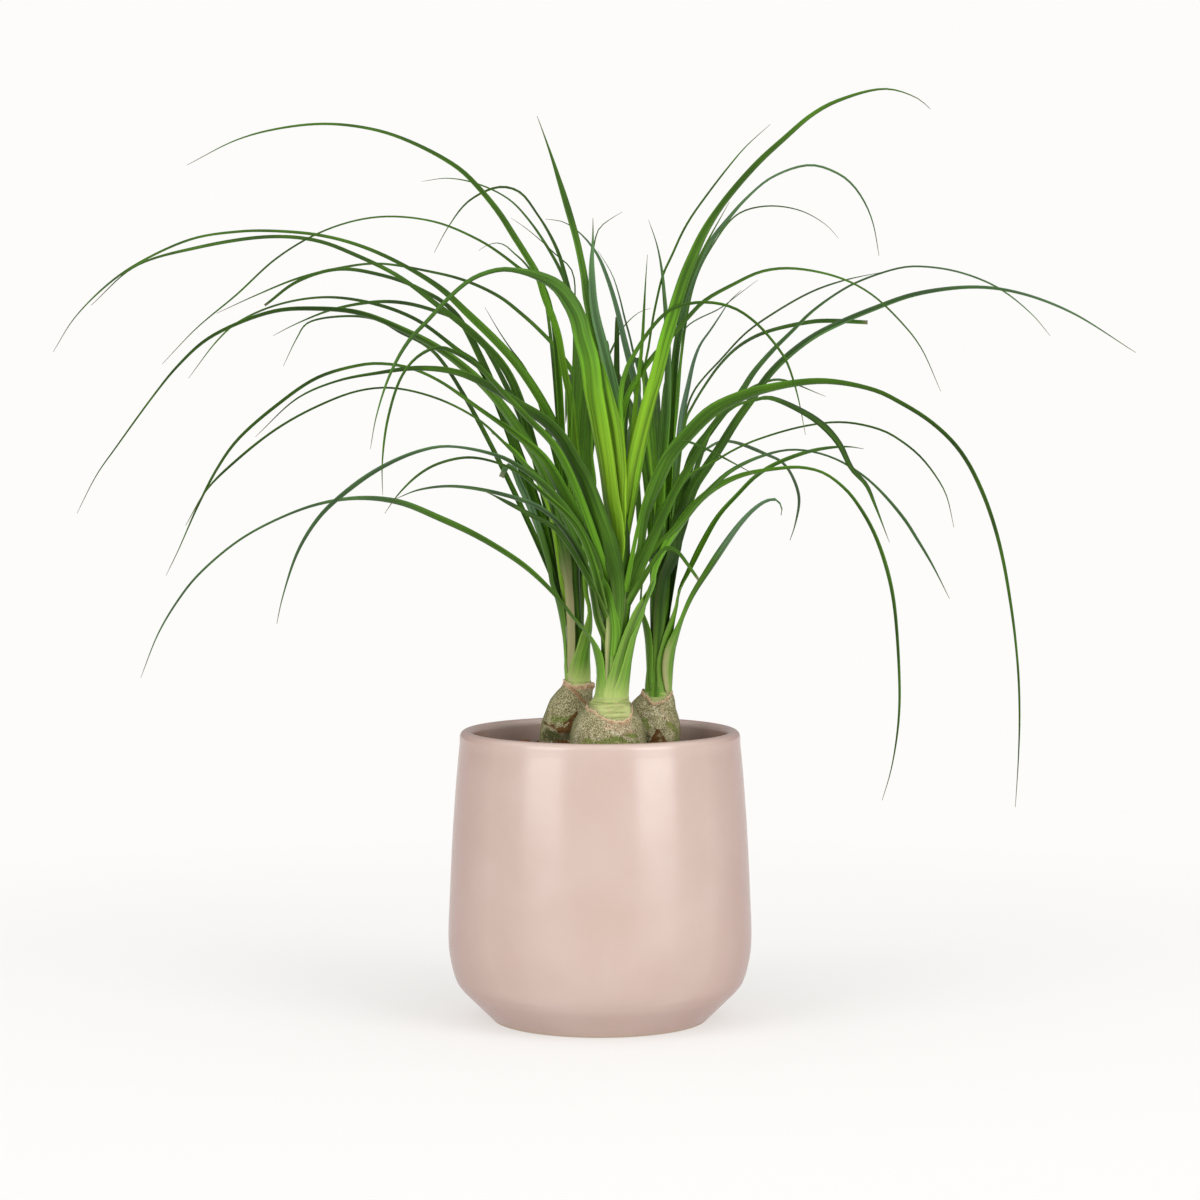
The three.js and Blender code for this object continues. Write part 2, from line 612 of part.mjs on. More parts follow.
// A plant's leaves and the column that they grow from, joined as they grew.
function leavesGeometry(name) {
  const column = solidFrom(columnGeometry(PLANTS[name]));
  const leaves = wasm.Manifold.union([column, ...bladesOf(name)]);
  const joined = geometryFrom(largestBody(leaves));
  // Rounding can part a hollow that hung on by one corner, so hollows are filled once more.
  return geometryFrom(largestBody(solidFrom(joined)));
}

// ------------------------------------------------------------------------- assembly

const pottedPalm = new THREE.Group();

function addPiece(name, geometry, finish) {
  const mesh = new THREE.Mesh(geometry, new THREE.MeshStandardMaterial(finish));
  mesh.name = name;
  pottedPalm.add(mesh);
}

addPiece("pot", potGeometry(), COLOURS.pot);
addPiece("soil", soilGeometry(), COLOURS.soil);
for (const [name, plant] of Object.entries(PLANTS)) {
  addPiece(`caudex_${name}`, skin(bulbRings(plant)), COLOURS.bulb);
  addPiece(`husk_${name}`, huskGeometry(plant, HUSKS[name]), COLOURS.husk);
  addPiece(`leaves_${name}`, leavesGeometry(name), COLOURS.leaf);
}

export default pottedPalm;
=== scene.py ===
"""A potted ponytail palm: three young plants with swollen corky bases in a dusty-pink glazed pot.

Sizes are in millimetres, as they are measured on the object, and become metres where a mesh is
made. The origin is the centre of the pot's underside, +Z is up, and the camera looks along +Y.
"""

import logging
import math
from abc import ABC, abstractmethod
from collections.abc import Sequence
from dataclasses import dataclass, field
from enum import Enum, IntEnum
from random import Random

import bmesh
import bpy
from mathutils import Matrix, Vector, noise


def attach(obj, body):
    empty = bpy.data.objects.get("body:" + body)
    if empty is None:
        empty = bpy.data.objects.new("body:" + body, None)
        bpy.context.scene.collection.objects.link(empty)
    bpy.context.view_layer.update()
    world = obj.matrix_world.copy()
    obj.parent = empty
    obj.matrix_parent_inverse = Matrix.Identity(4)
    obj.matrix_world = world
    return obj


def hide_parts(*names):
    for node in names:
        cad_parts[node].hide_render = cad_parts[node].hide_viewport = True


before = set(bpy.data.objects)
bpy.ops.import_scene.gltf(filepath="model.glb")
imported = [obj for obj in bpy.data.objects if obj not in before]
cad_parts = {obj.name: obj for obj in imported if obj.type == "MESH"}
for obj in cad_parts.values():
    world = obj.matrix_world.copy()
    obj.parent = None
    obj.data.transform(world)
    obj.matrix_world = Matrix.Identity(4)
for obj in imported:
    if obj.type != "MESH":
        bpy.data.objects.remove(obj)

log = logging.getLogger("ponytail_palm")

MM = 0.001
BODY = "root"

Pair = tuple[float, float]
Triple = tuple[float, float, float]
Object = bpy.types.Object
Material = bpy.types.Material
Tree = bpy.types.NodeTree
Node = bpy.types.Node
Socket = bpy.types.NodeSocket


# --- numbers


def linear(hex_colour: str) -> tuple[float, float, float, float]:
    """Turns an sRGB colour into the linear one that a shader takes.

    Args:
        hex_colour: The colour, such as "#d8bfb3".

    Returns:
        Red, green, blue and an alpha of 1.
    """
    channels = [int(hex_colour[i : i + 2], 16) / 255 for i in (1, 3, 5)]
    red, green, blue = [c / 12.92 if c <= 0.04045 else ((c + 0.055) / 1.055) ** 2.4 for c in channels]
    return (red, green, blue, 1.0)


def per_metre(size: float) -> float:
    """A texture scale whose features are about a size in millimetres."""
    return 1 / (size * MM)


def blend(low: float, high: float, share: float) -> float:
    """The number a share of the way from low to high."""
    return low + (high - low) * share


def ease(low: float, high: float, value: float) -> float:
    """A smooth step from 0 at low to 1 at high."""
    share = min(1.0, max(0.0, (value - low) / (high - low)))
    return share * share * (3 - 2 * share)


def table_value(rows: Sequence[Sequence[float]], at: float, column: int) -> float:
    """Reads a column of a table whose first column rises.

    Args:
        rows: The table.
        at: The place in the first column.
        column: The column that is read.

    Returns:
        The value there, in between rows along a straight line.
    """
    if at <= rows[0][0]:
        return rows[0][column]
    for before, after in zip(rows, rows[1:]):
        if at <= after[0]:
            return blend(before[column], after[column], (at - before[0]) / (after[0] - before[0]))
    return rows[-1][column]


def curve_through(spots: Sequence[Vector], step: float) -> list[Vector]:
    """Evenly spaced points on a smooth curve, a centripetal Catmull-Rom spline.

    Args:
        spots: The points that the curve passes through.
        step: The wanted distance between the points that come back.

    Returns:
        Points from the first spot to the last.
    """
    ends = [spots[0] * 2 - spots[1], *spots, spots[-1] * 2 - spots[-2]]
    fine = [spots[0]]
    pieces = 16
    for a, b, c, d in zip(ends, ends[1:], ends[2:], ends[3:]):
        knots = [0.0]
        for p, q in ((a, b), (b, c), (c, d)):
            knots.append(knots[-1] + max((q - p).length, 1e-9) ** 0.5)
        k0, k1, k2, k3 = knots
        for i in range(1, pieces + 1):
            t = blend(k1, k2, i / pieces)
            ab = a * ((k1 - t) / (k1 - k0)) + b * ((t - k0) / (k1 - k0))
            bc = b * ((k2 - t) / (k2 - k1)) + c * ((t - k1) / (k2 - k1))
            cd = c * ((k3 - t) / (k3 - k2)) + d * ((t - k2) / (k3 - k2))
            abc = ab * ((k2 - t) / (k2 - k0)) + bc * ((t - k0) / (k2 - k0))
            bcd = bc * ((k3 - t) / (k3 - k1)) + cd * ((t - k1) / (k3 - k1))
            fine.append(abc * ((k2 - t) / (k2 - k1)) + bcd * ((t - k1) / (k2 - k1)))
    lengths = [0.0]
    for p, q in zip(fine, fine[1:]):
        lengths.append(lengths[-1] + (q - p).length)
    count = max(2, round(lengths[-1] / step))
    points, at = [], 0
    for i in range(count + 1):
        wanted = lengths[-1] * i / count
        while at < len(lengths) - 2 and lengths[at + 1] < wanted:
            at += 1
        share = (wanted - lengths[at]) / max(lengths[at + 1] - lengths[at], 1e-9)
        points.append(fine[at].lerp(fine[at + 1], min(1.0, share)))
    return points


def smooth_outline(pairs: Sequence[Pair], step: float) -> list[Pair]:
    """The same smooth curve for an outline of [radius, height] pairs."""
    return [(p.x, p.z) for p in curve_through([Vector((r, 0, z)) for r, z in pairs], step)]


def arc(centre: Pair, radius: float, start: float, end: float, steps: int) -> list[Pair]:
    """Points of an arc in an outline.

    Args:
        centre: The arc's centre.
        radius: Its radius.
        start: The angle that it starts at, in degrees.
        end: The angle that it ends at.
        steps: The number of straight pieces.

    Returns:
        The points, both ends included.
    """
    angles = [math.radians(blend(start, end, i / steps)) for i in range(steps + 1)]
    return [(centre[0] + radius * math.cos(a), centre[1] + radius * math.sin(a)) for a in angles]


def round_ring(radius: float, count: int) -> list[Pair]:
    """The x and y of evenly spaced points on a circle round the pot's axis."""
    turns = [math.tau * k / count for k in range(count)]
    return [(radius * math.cos(turn), radius * math.sin(turn)) for turn in turns]


# --- meshes


@dataclass
class Draft:
    """A mesh in the making, in millimetres, with a few numbers for each point that its finish reads.

    Attributes:
        points: The points.
        faces: Point numbers of each face, counterclockwise seen from outside.
        tints: For each name, a number for each point.
        flat: The place of each point on the flattened surface, across and along, if it has one.
    """

    points: list[Vector] = field(default_factory=list)
    faces: list[tuple[int, ...]] = field(default_factory=list)
    tints: dict[str, list[float]] = field(default_factory=dict)
    flat: list[Pair] = field(default_factory=list)

    def add(self, point: Vector, **tints: float) -> int:
        """Adds a point with its tints and returns its number."""
        for name in {**self.tints, **tints}:
            values = self.tints.setdefault(name, [])
            values.extend([0.0] * (len(self.points) - len(values)))
            values.append(tints.get(name, 0.0))
        self.points.append(point)
        return len(self.points) - 1

    def skin(self, rings: Sequence[Sequence[int]], closed: bool = False) -> None:
        """Joins rings of points, each counterclockwise seen from the next, into a tube.

        Args:
            rings: Point numbers of each ring. All rings have as many points.
            closed: Whether the last ring runs back into the first. Otherwise both ends get a face.
        """
        pairs = list(zip(rings, rings[1:]))
        if closed:
            pairs.append((rings[-1], rings[0]))
        for here, there in pairs:
            for i in range(len(here)):
                j = (i + 1) % len(here)
                self.faces.append((here[i], here[j], there[j], there[i]))
        if not closed:
            self.faces.append(tuple(reversed(rings[0])))
            self.faces.append(tuple(rings[-1]))

    def finish(self, name: str, material: Material, node: str, slot: str) -> Object:
        """Makes the object, in metres, in place of a node of the frame.

        Args:
            name: The piece's name.
            material: Its finish.
            node: The node of the frame that it stands for.
            slot: The name of the record's slot for its finish. It is not used.

        Returns:
            The new object, which rides on the frame's body.
        """
        mesh = bpy.data.meshes.new(name)
        mesh.from_pydata([p * MM for p in self.points], [], self.faces)
        for tint, values in self.tints.items():
            values.extend([0.0] * (len(self.points) - len(values)))
            mesh.attributes.new(tint, "FLOAT", "POINT").data.foreach_set("value", values)
        if self.flat:
            layer = mesh.uv_layers.new(name="flat")
            for corner in mesh.loops:
                layer.data[corner.index].uv = self.flat[corner.vertex_index]
        mesh.materials.append(material)
        mesh.shade_smooth()
        mesh.update()
        piece = bpy.data.objects.new(name, mesh)
        bpy.context.scene.collection.objects.link(piece)
        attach(piece, BODY)
        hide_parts(node)
        log.info("%s: %d points, %d faces", name, len(self.points), len(self.faces))
        return piece


# --- finishes


def add_node(tree: Tree, kind: str, settings: dict | None = None, inputs: dict | None = None) -> Node:
    """Adds a node to a tree.

    Args:
        tree: The material's or world's nodes.
        kind: Blender's name for the kind of node.
        settings: The node's own settings by name.
        inputs: For each input's name or number, a value or the output that is linked to it.

    Returns:
        The new node.
    """
    node = tree.nodes.new(kind)
    for name, value in (settings or {}).items():
        setattr(node, name, value)
    for key, value in (inputs or {}).items():
        if isinstance(value, Socket):
            tree.links.new(value, node.inputs[key])
        else:
            node.inputs[key].default_value = value
    return node


def stretch(value: Socket, given: Pair, wanted: Pair) -> dict:
    """The inputs of a Map Range node that turns the given range of a value into the wanted one."""
    return {"Value": value} | dict(zip(("From Min", "From Max", "To Min", "To Max"), (*given, *wanted)))


class MixSocket(IntEnum):
    """The numbers of a colour Mix node's sockets."""

    SHARE = 0
    UNDER = 6
    OVER = 7
    RESULT = 2


@dataclass(frozen=True)
class Coat:
    """A layer of another colour over what is there.

    Attributes:
        colour: Its sRGB colour, or the name of a pattern that gives it.
        by: The pattern, or the tint of the mesh, that decides how much of it there is.
        given: Two values of that.
        share: The coat's share at those two.
        kind: How it mixes with what is below.
    """

    colour: str
    by: str
    given: Pair = (0, 1)
    share: Pair = (0, 1)
    kind: str = "MIX"


@dataclass(frozen=True)
class Finish(ABC):
    """What one real material looks like."""

    name: str

    @abstractmethod
    def paint(self, tree: Tree, place: Socket) -> dict:
        """Adds the finish's nodes.

        Args:
            tree: The material's nodes.
            place: The output that gives the place on the object, in metres.

        Returns:
            The shader's inputs by name, as values or outputs.
        """

    def material(self) -> Material:
        """Makes the material."""
        made = bpy.data.materials.new(self.name)
        made.use_nodes = True
        tree = made.node_tree
        tree.nodes.clear()
        place = add_node(tree, "ShaderNodeTexCoord").outputs["Object"]
        shader = add_node(tree, "ShaderNodeBsdfPrincipled", inputs=self.paint(tree, place))
        add_node(tree, "ShaderNodeOutputMaterial", inputs={"Surface": shader.outputs["BSDF"]})
        return made

    @staticmethod
    def coated(tree: Tree, base: str | Socket, coats: Sequence[Coat], **patterns: Socket) -> Socket:
        """Lays coats of colour over a base.

        Args:
            tree: The material's nodes.
            base: An sRGB colour or the output that gives it.
            coats: The coats, lowest first.
            **patterns: The outputs that the coats name. Any other name is a tint of the mesh.

        Returns:
            The colour that comes out on top.
        """
        top = linear(base) if isinstance(base, str) else base
        for coat in coats:
            by = patterns.get(coat.by)
            if by is None:
                by = add_node(tree, "ShaderNodeAttribute", {"attribute_name": coat.by}).outputs["Fac"]
            share = add_node(tree, "ShaderNodeMapRange", inputs=stretch(by, coat.given, coat.share))
            over = patterns.get(coat.colour)
            inputs = {
                MixSocket.SHARE: share.outputs["Result"],
                MixSocket.UNDER: top,
                MixSocket.OVER: linear(coat.colour) if over is None else over,
            }
            mix = add_node(tree, "ShaderNodeMix", {"data_type": "RGBA", "blend_type": coat.kind}, inputs)
            top = mix.outputs[MixSocket.RESULT]
        return top


@dataclass(frozen=True)
class SatinGlaze(Finish):
    """Slip-cast stoneware under a satin matt glaze: dusty pink, with broad soft highlights.

    The glaze pools a little darker in some places and breaks lighter over the lip, and its
    skin is very slightly uneven. The foot is wiped clean, so it shows the bare pale clay.
    """

    body: str = "#c1aaa0"
    deep: str = "#b79b8f"
    thin: str = "#cfb9ae"
    # Colour of the painted shade that darkens the glaze towards the pot's outline.
    edge: str = "#8c5e52"
    clay: str = "#b9a592"
    cloud_size: float = 38
    speckle_size: float = 1.1
    skin_size: float = 5

    def paint(self, tree: Tree, place: Socket) -> dict:
        """Adds the glaze's nodes and returns the shader's inputs."""
        clouds, speckle, skin = [
            add_node(
                tree, "ShaderNodeTexNoise", inputs={"Vector": place, "Scale": per_metre(size), "Detail": 4}
            ).outputs["Fac"]
            for size in (self.cloud_size, self.speckle_size, self.skin_size)
        ]
        facing = add_node(tree, "ShaderNodeLayerWeight", inputs={"Blend": 0.5}).outputs["Facing"]
        coats = (
            Coat(self.deep, "clouds", (0.35, 0.7), (0, 0.5)),
            Coat(self.deep, "speckle", (0.6, 0.78), (0, 0.22)),
            Coat(self.thin, "thin"),
            # Painted shade: darker and redder towards the outline, where the surface turns away from the eye.
            Coat(self.edge, "facing", (0.33, 1), (0, 0.9)),
            Coat(self.clay, "bare"),
        )
        colour = self.coated(tree, self.body, coats, clouds=clouds, speckle=speckle, facing=facing)
        satin = add_node(tree, "ShaderNodeMapRange", inputs=stretch(skin, (0.3, 0.7), (0.2, 0.26)))
        bare = add_node(tree, "ShaderNodeAttribute", {"attribute_name": "bare"})
        gloss = {0: satin.outputs["Result"], 1: bare.outputs["Fac"]}
        rough = add_node(tree, "ShaderNodeMath", {"operation": "MAXIMUM"}, gloss)
        relief = add_node(
            tree, "ShaderNodeBump", inputs={"Strength": 0.12, "Distance": 0.15 * MM, "Height": skin}
        )
        return {
            "Base Color": colour,
            "Roughness": rough.outputs[0],
            "Normal": relief.outputs["Normal"],
            "IOR": 1.5,
            "Specular IOR Level": 0.8,
        }


@dataclass(frozen=True)
class Compost(Finish):
    """Peat compost with bark: dull, dark brown and crumbly, with fibres and redder bark bits."""

    peat: str = "#2b1d13"
    humus: str = "#4a3321"
    bark: str = "#7a4d2b"
    dry_bark: str = "#8f5f38"
    pale_bark: str = "#a9774a"
    crumb_size: float = 1.6
    patch_size: float = 9

    def paint(self, tree: Tree, place: Socket) -> dict:
        """Adds the compost's nodes and returns the shader's inputs."""
        crumbs, patches = [
            add_node(
                tree, "ShaderNodeTexNoise", inputs={"Vector": place, "Scale": per_metre(size), "Detail": 6}
            ).outputs["Fac"]
            for size in (self.crumb_size, self.patch_size)
        ]
        earth = (Coat(self.humus, "crumbs", (0.35, 0.7)), Coat(self.bark, "patches", (0.4, 0.8), (0, 0.4)))
        chips = (
            Coat(self.bark, "chip_shade", (0, 0.45)),
            Coat(self.dry_bark, "chip_shade", (0.45, 0.8)),
            Coat(self.pale_bark, "chip_shade", (0.8, 1)),
            Coat(self.peat, "crumbs", (0.3, 0.7), (0.65, 0)),
        )
        ground = self.coated(tree, self.peat, earth, crumbs=crumbs, patches=patches)
        wood = self.coated(tree, self.humus, chips, crumbs=crumbs)
        relief = add_node(
            tree, "ShaderNodeBump", inputs={"Strength": 0.7, "Distance": 0.5 * MM, "Height": crumbs}
        )
        return {
            "Base Color": self.coated(tree, ground, (Coat("wood", "chip"),), wood=wood),
            "Roughness": 0.92,
            "Specular IOR Level": 0.25,
            "Normal": relief.outputs["Normal"],
        }


@dataclass(frozen=True)
class CorkyBark(Finish):
    """The corky skin of a swollen palm base: grey-green plates parted by a net of fine dark cracks.

    Algae turn it green low down, old leaf scars cross it as tan ridges, and close to the
    leaves the skin is still fresh, pale yellow-green and smooth. Its sides darken towards the
    outline with painted shade, and a few dark patches low on the bulbs are painted shade as well.
    """

    plate: str = "#c0b48c"
    plate_dark: str = "#8f8559"
    green: str = "#848a4a"
    fleck: str = "#d2caa6"
    crack: str = "#33290f"
    moss: str = "#788b34"
    ridge: str = "#b0906a"
    ridge_dark: str = "#7f5835"
    # Colour of the painted shade patches.
    painted_shade: str = "#363a12"
    tan: str = "#c9a388"
    scrape: str = "#d9cfae"
    rag: str = "#67420f"
    fresh: str = "#bcc67e"
    ring: str = "#74843c"
    sheath: str = "#7a9a3a"
    # Colour of the painted shade on the bulb's sides.
    side: str = "#565c24"
    crack_size: float = 0.95
    crack_sway: float = 1.1
    patch_size: float = 6
    torn_size: float = 2.4
    ring_size: float = 1.2

    def paint(self, tree: Tree, place: Socket) -> dict:
        """Adds the bark's nodes and returns the shader's inputs."""
        level = add_node(tree, "ShaderNodeMapping", inputs={"Vector": place, "Scale": (0.12, 0.12, 1)})
        patches, grain, ragged, rings = [
            add_node(tree, "ShaderNodeTexNoise", inputs={"Vector": at, "Scale": per_metre(mm), "Detail": n})
            for at, mm, n in (
                (place, self.patch_size, 5),
                (place, self.crack_size * 0.5, 5),
                (place, self.torn_size, 4),
                (level.outputs["Vector"], self.ring_size, 3),
            )
        ]
        grains, shreds = grain.outputs["Fac"], ragged.outputs["Fac"]
        swayed = {0: grain.outputs["Color"], 1: (self.crack_sway * MM,) * 3, 2: place}
        bend = add_node(tree, "ShaderNodeVectorMath", {"operation": "MULTIPLY_ADD"}, swayed)
        upright = add_node(
            tree, "ShaderNodeMapping", inputs={"Vector": bend.outputs["Vector"], "Scale": (1, 1, 1.7)}
        )
        cells = {"Vector": upright.outputs["Vector"], "Scale": per_metre(self.crack_size)}
        net = add_node(tree, "ShaderNodeTexVoronoi", {"feature": "DISTANCE_TO_EDGE"}, cells)
        gap, worn, torn, speckled = [
            add_node(tree, "ShaderNodeMapRange", inputs=stretch(*limits)).outputs["Result"]
            for limits in (
                (net.outputs["Distance"], (0.03, 0.16), (1, 0)),
                (grains, (0.42, 0.58), (0.1, 1)),
                (shreds, (0.35, 0.65), (-1.3, 0.3)),
                (grains, (0.38, 0.62), (0.75, 0.2)),
            )
        ]
        cracked = add_node(tree, "ShaderNodeMath", {"operation": "MULTIPLY"}, {0: gap, 1: worn}).outputs[0]
        marks = {
            MarkKind.MOSS: (self.moss, 0.85),
            # Painted shade patches, laid on as marks.
            MarkKind.PAINTED_SHADE: (self.painted_shade, 0.85),
            MarkKind.TAN: (self.tan, 0.5),
            MarkKind.SCRAPE: (self.scrape, 0.6),
            MarkKind.RAG: (self.rag, 1),
        }
        parts = {}
        for kind in marks:
            near = add_node(tree, "ShaderNodeAttribute", {"attribute_name": kind.value}).outputs["Fac"]
            part = add_node(tree, "ShaderNodeMath", {"operation": "MULTIPLY_ADD"}, {0: near, 1: 1.7, 2: torn})
            parts[kind.value] = part.outputs[0]
        old_scar = (Coat(self.ridge_dark, "grains", (0.35, 0.65)),)
        newest = (
            Coat(self.ring, "rings", (0.42, 0.66), (0, 0.75)),
            Coat(self.tan, "shreds", (0.55, 0.75), (0, 0.6)),
        )
        patterns = {
            "patches": patches.outputs["Fac"],
            "grains": grains,
            "cracked": cracked,
            "speckled": speckled,
            "facing": add_node(tree, "ShaderNodeLayerWeight", inputs={"Blend": 0.5}).outputs["Facing"],
            "scar": self.coated(tree, self.ridge, old_scar, grains=grains),
            "young": self.coated(tree, self.fresh, newest, rings=rings.outputs["Fac"], shreds=shreds),
        }
        coats = (
            Coat(self.plate_dark, "patches", (0.35, 0.65)),
            Coat(self.green, "grains", (0.4, 0.7), (0, 0.55)),
            Coat(self.fleck, "grains", (0.55, 0.4), (0, 0.5)),
            *(Coat(colour, kind.value, (0, 0.9), (0, most)) for kind, (colour, most) in marks.items()),
            Coat("speckled", "grains", share=(0.5, 0.5), kind="OVERLAY"),
            Coat(self.crack, "cracked"),
            # Painted shade: the bulb darkens towards its outline, where it turns away from the eye.
            Coat(self.side, "facing", (0.25, 0.9), (0, 0.7)),
            Coat("scar", MarkKind.RIDGE.value),
            Coat("young", "fresh"),
            Coat(self.sheath, "sheath"),
        )
        deep = add_node(tree, "ShaderNodeMapRange", inputs=stretch(cracked, (0, 1), (1, 0))).outputs["Result"]
        relief = add_node(
            tree, "ShaderNodeBump", inputs={"Strength": 0.55, "Distance": 0.35 * MM, "Height": deep}
        )
        grainy = {"Strength": 0.3, "Distance": 0.3 * MM, "Height": grains, "Normal": relief.outputs["Normal"]}
        relief = add_node(tree, "ShaderNodeBump", inputs=grainy)
        return {
            "Base Color": self.coated(tree, self.plate, coats, **patterns, **parts),
            "Roughness": 0.72,
            "Specular IOR Level": 0.35,
            "Normal": relief.outputs["Normal"],
        }


@dataclass(frozen=True)
class DryHusk(Finish):
    """Dried leaf bases: papery, tan to rust brown, with fine fibres that run up to a torn edge."""

    paper: str = "#b3926a"
    rust: str = "#855633"
    pale: str = "#d8c3a0"
    fibre_size: float = 0.5
    blotch_size: float = 3

    def paint(self, tree: Tree, place: Socket) -> dict:
        """Adds the husk's nodes and returns the shader's inputs."""
        along = add_node(tree, "ShaderNodeMapping", inputs={"Vector": place, "Scale": (1, 1, 0.25)})
        fibres, blotches = [
            add_node(
                tree, "ShaderNodeTexNoise", inputs={"Vector": at, "Scale": per_metre(size), "Detail": 4}
            ).outputs["Fac"]
            for at, size in ((along.outputs["Vector"], self.fibre_size), (place, self.blotch_size))
        ]
        coats = (
            Coat(self.rust, "blotches", (0.38, 0.62)),
            Coat(self.pale, "fibres", (0.35, 0.7), (0, 0.6)),
            Coat(self.pale, "torn"),
        )
        relief = add_node(
            tree, "ShaderNodeBump", inputs={"Strength": 0.6, "Distance": 0.2 * MM, "Height": fibres}
        )
        return {
            "Base Color": self.coated(tree, self.paper, coats, fibres=fibres, blotches=blotches),
            "Roughness": 0.75,
            "Normal": relief.outputs["Normal"],
        }


@dataclass(frozen=True)
class PalmLeaf(Finish):
    """Living strap leaf: smooth and leathery, with fine veins from root to tip.

    Young leaves are yellow-green, old ones deep and slightly blue; over the outer blade some
    bluish grey-green is painted sheen of the sky as well. Pale margin lines are partly the leaf's
    own and partly a painted highlight. The sheath at the root is pale, its margins dry to beige,
    and the thread-like tips dry to grey-brown. The veins are drawn a little coarser than they
    grow, so that they still show in the picture.
    """

    old: str = "#273d16"
    middle: str = "#5b8d1d"
    young: str = "#6d931f"
    bluish: str = "#567059"
    sheath: str = "#648f2e"
    shine: str = "#c6c6c6"
    white: str = "#c2d07e"
    beige: str = "#b9ad83"
    dried: str = "#77735a"
    groove: str = "#1f380c"
    vein_size: float = 0.6
    vein_along: float = 0.006
    band_size: float = 2.0
    band_along: float = 0.01
    cloud_size: float = 24

    def paint(self, tree: Tree, place: Socket) -> dict:
        """Adds the leaf's nodes and returns the shader's inputs."""
        flat = add_node(tree, "ShaderNodeUVMap", {"uv_map": "flat"}).outputs["UV"]
        lengthwise = []
        for size, along in ((self.vein_size, self.vein_along), (self.band_size, self.band_along)):
            drawn = add_node(
                tree, "ShaderNodeMapping", inputs={"Vector": flat, "Scale": (1 / size, along, 1)}
            )
            lines = add_node(
                tree,
                "ShaderNodeTexNoise",
                {"noise_dimensions": "2D"},
                {"Vector": drawn.outputs["Vector"], "Scale": 1.0, "Detail": 2},
            )
            lengthwise.append(lines.outputs["Fac"])
        veins, bands = lengthwise
        cloudy = {"Vector": place, "Scale": per_metre(self.cloud_size), "Detail": 2}
        clouds = add_node(tree, "ShaderNodeTexNoise", inputs=cloudy).outputs["Fac"]
        greens = (
            Coat(self.middle, "bright", (0, 0.5)),
            Coat(self.young, "bright", (0.45, 0.95)),
            Coat(self.middle, "clouds", (0.35, 0.7), (0, 0.3)),
            # Bluish grey-green over the outer blade: partly the leaf's own bloom, partly painted sheen of the
            # sky.
            Coat(self.bluish, "bluish"),
            Coat(self.sheath, "sheath", share=(0, 0.75)),
        )
        green = self.coated(tree, self.old, greens, clouds=clouds)
        lit = (Coat(self.shine, "bands", share=(1, 1), kind="DODGE"),)
        light = self.coated(tree, green, lit, bands=bands)
        lines = (
            Coat("light", "bands", (0.45, 0.7), (0, 0.3)),
            Coat("light", "veins", (0.55, 0.7), (0, 0.2)),
            # Pale margin lines: partly the leaf's own pale margins, partly a painted highlight along the
            # edges.
            Coat("light", "rim", share=(0, 0.3)),
            Coat(self.groove, "bands", (0.5, 0.3), (0, 0.42)),
            Coat(self.groove, "veins", (0.48, 0.3), (0, 0.36)),
            Coat(self.white, "blanched"),
            Coat(self.beige, "beige"),
            Coat(self.dried, "dried"),
        )
        satin = add_node(tree, "ShaderNodeMapRange", inputs=stretch(bands, (0.3, 0.7), (0.4, 0.5)))
        relief = add_node(
            tree, "ShaderNodeBump", inputs={"Strength": 0.3, "Distance": 0.12 * MM, "Height": veins}
        )
        return {
            "Base Color": self.coated(tree, green, lines, light=light, bands=bands, veins=veins),
            "Roughness": satin.outputs["Result"],
            "Normal": relief.outputs["Normal"],
            "IOR": 1.42,
            "Specular IOR Level": 0.15,
        }


# --- pot


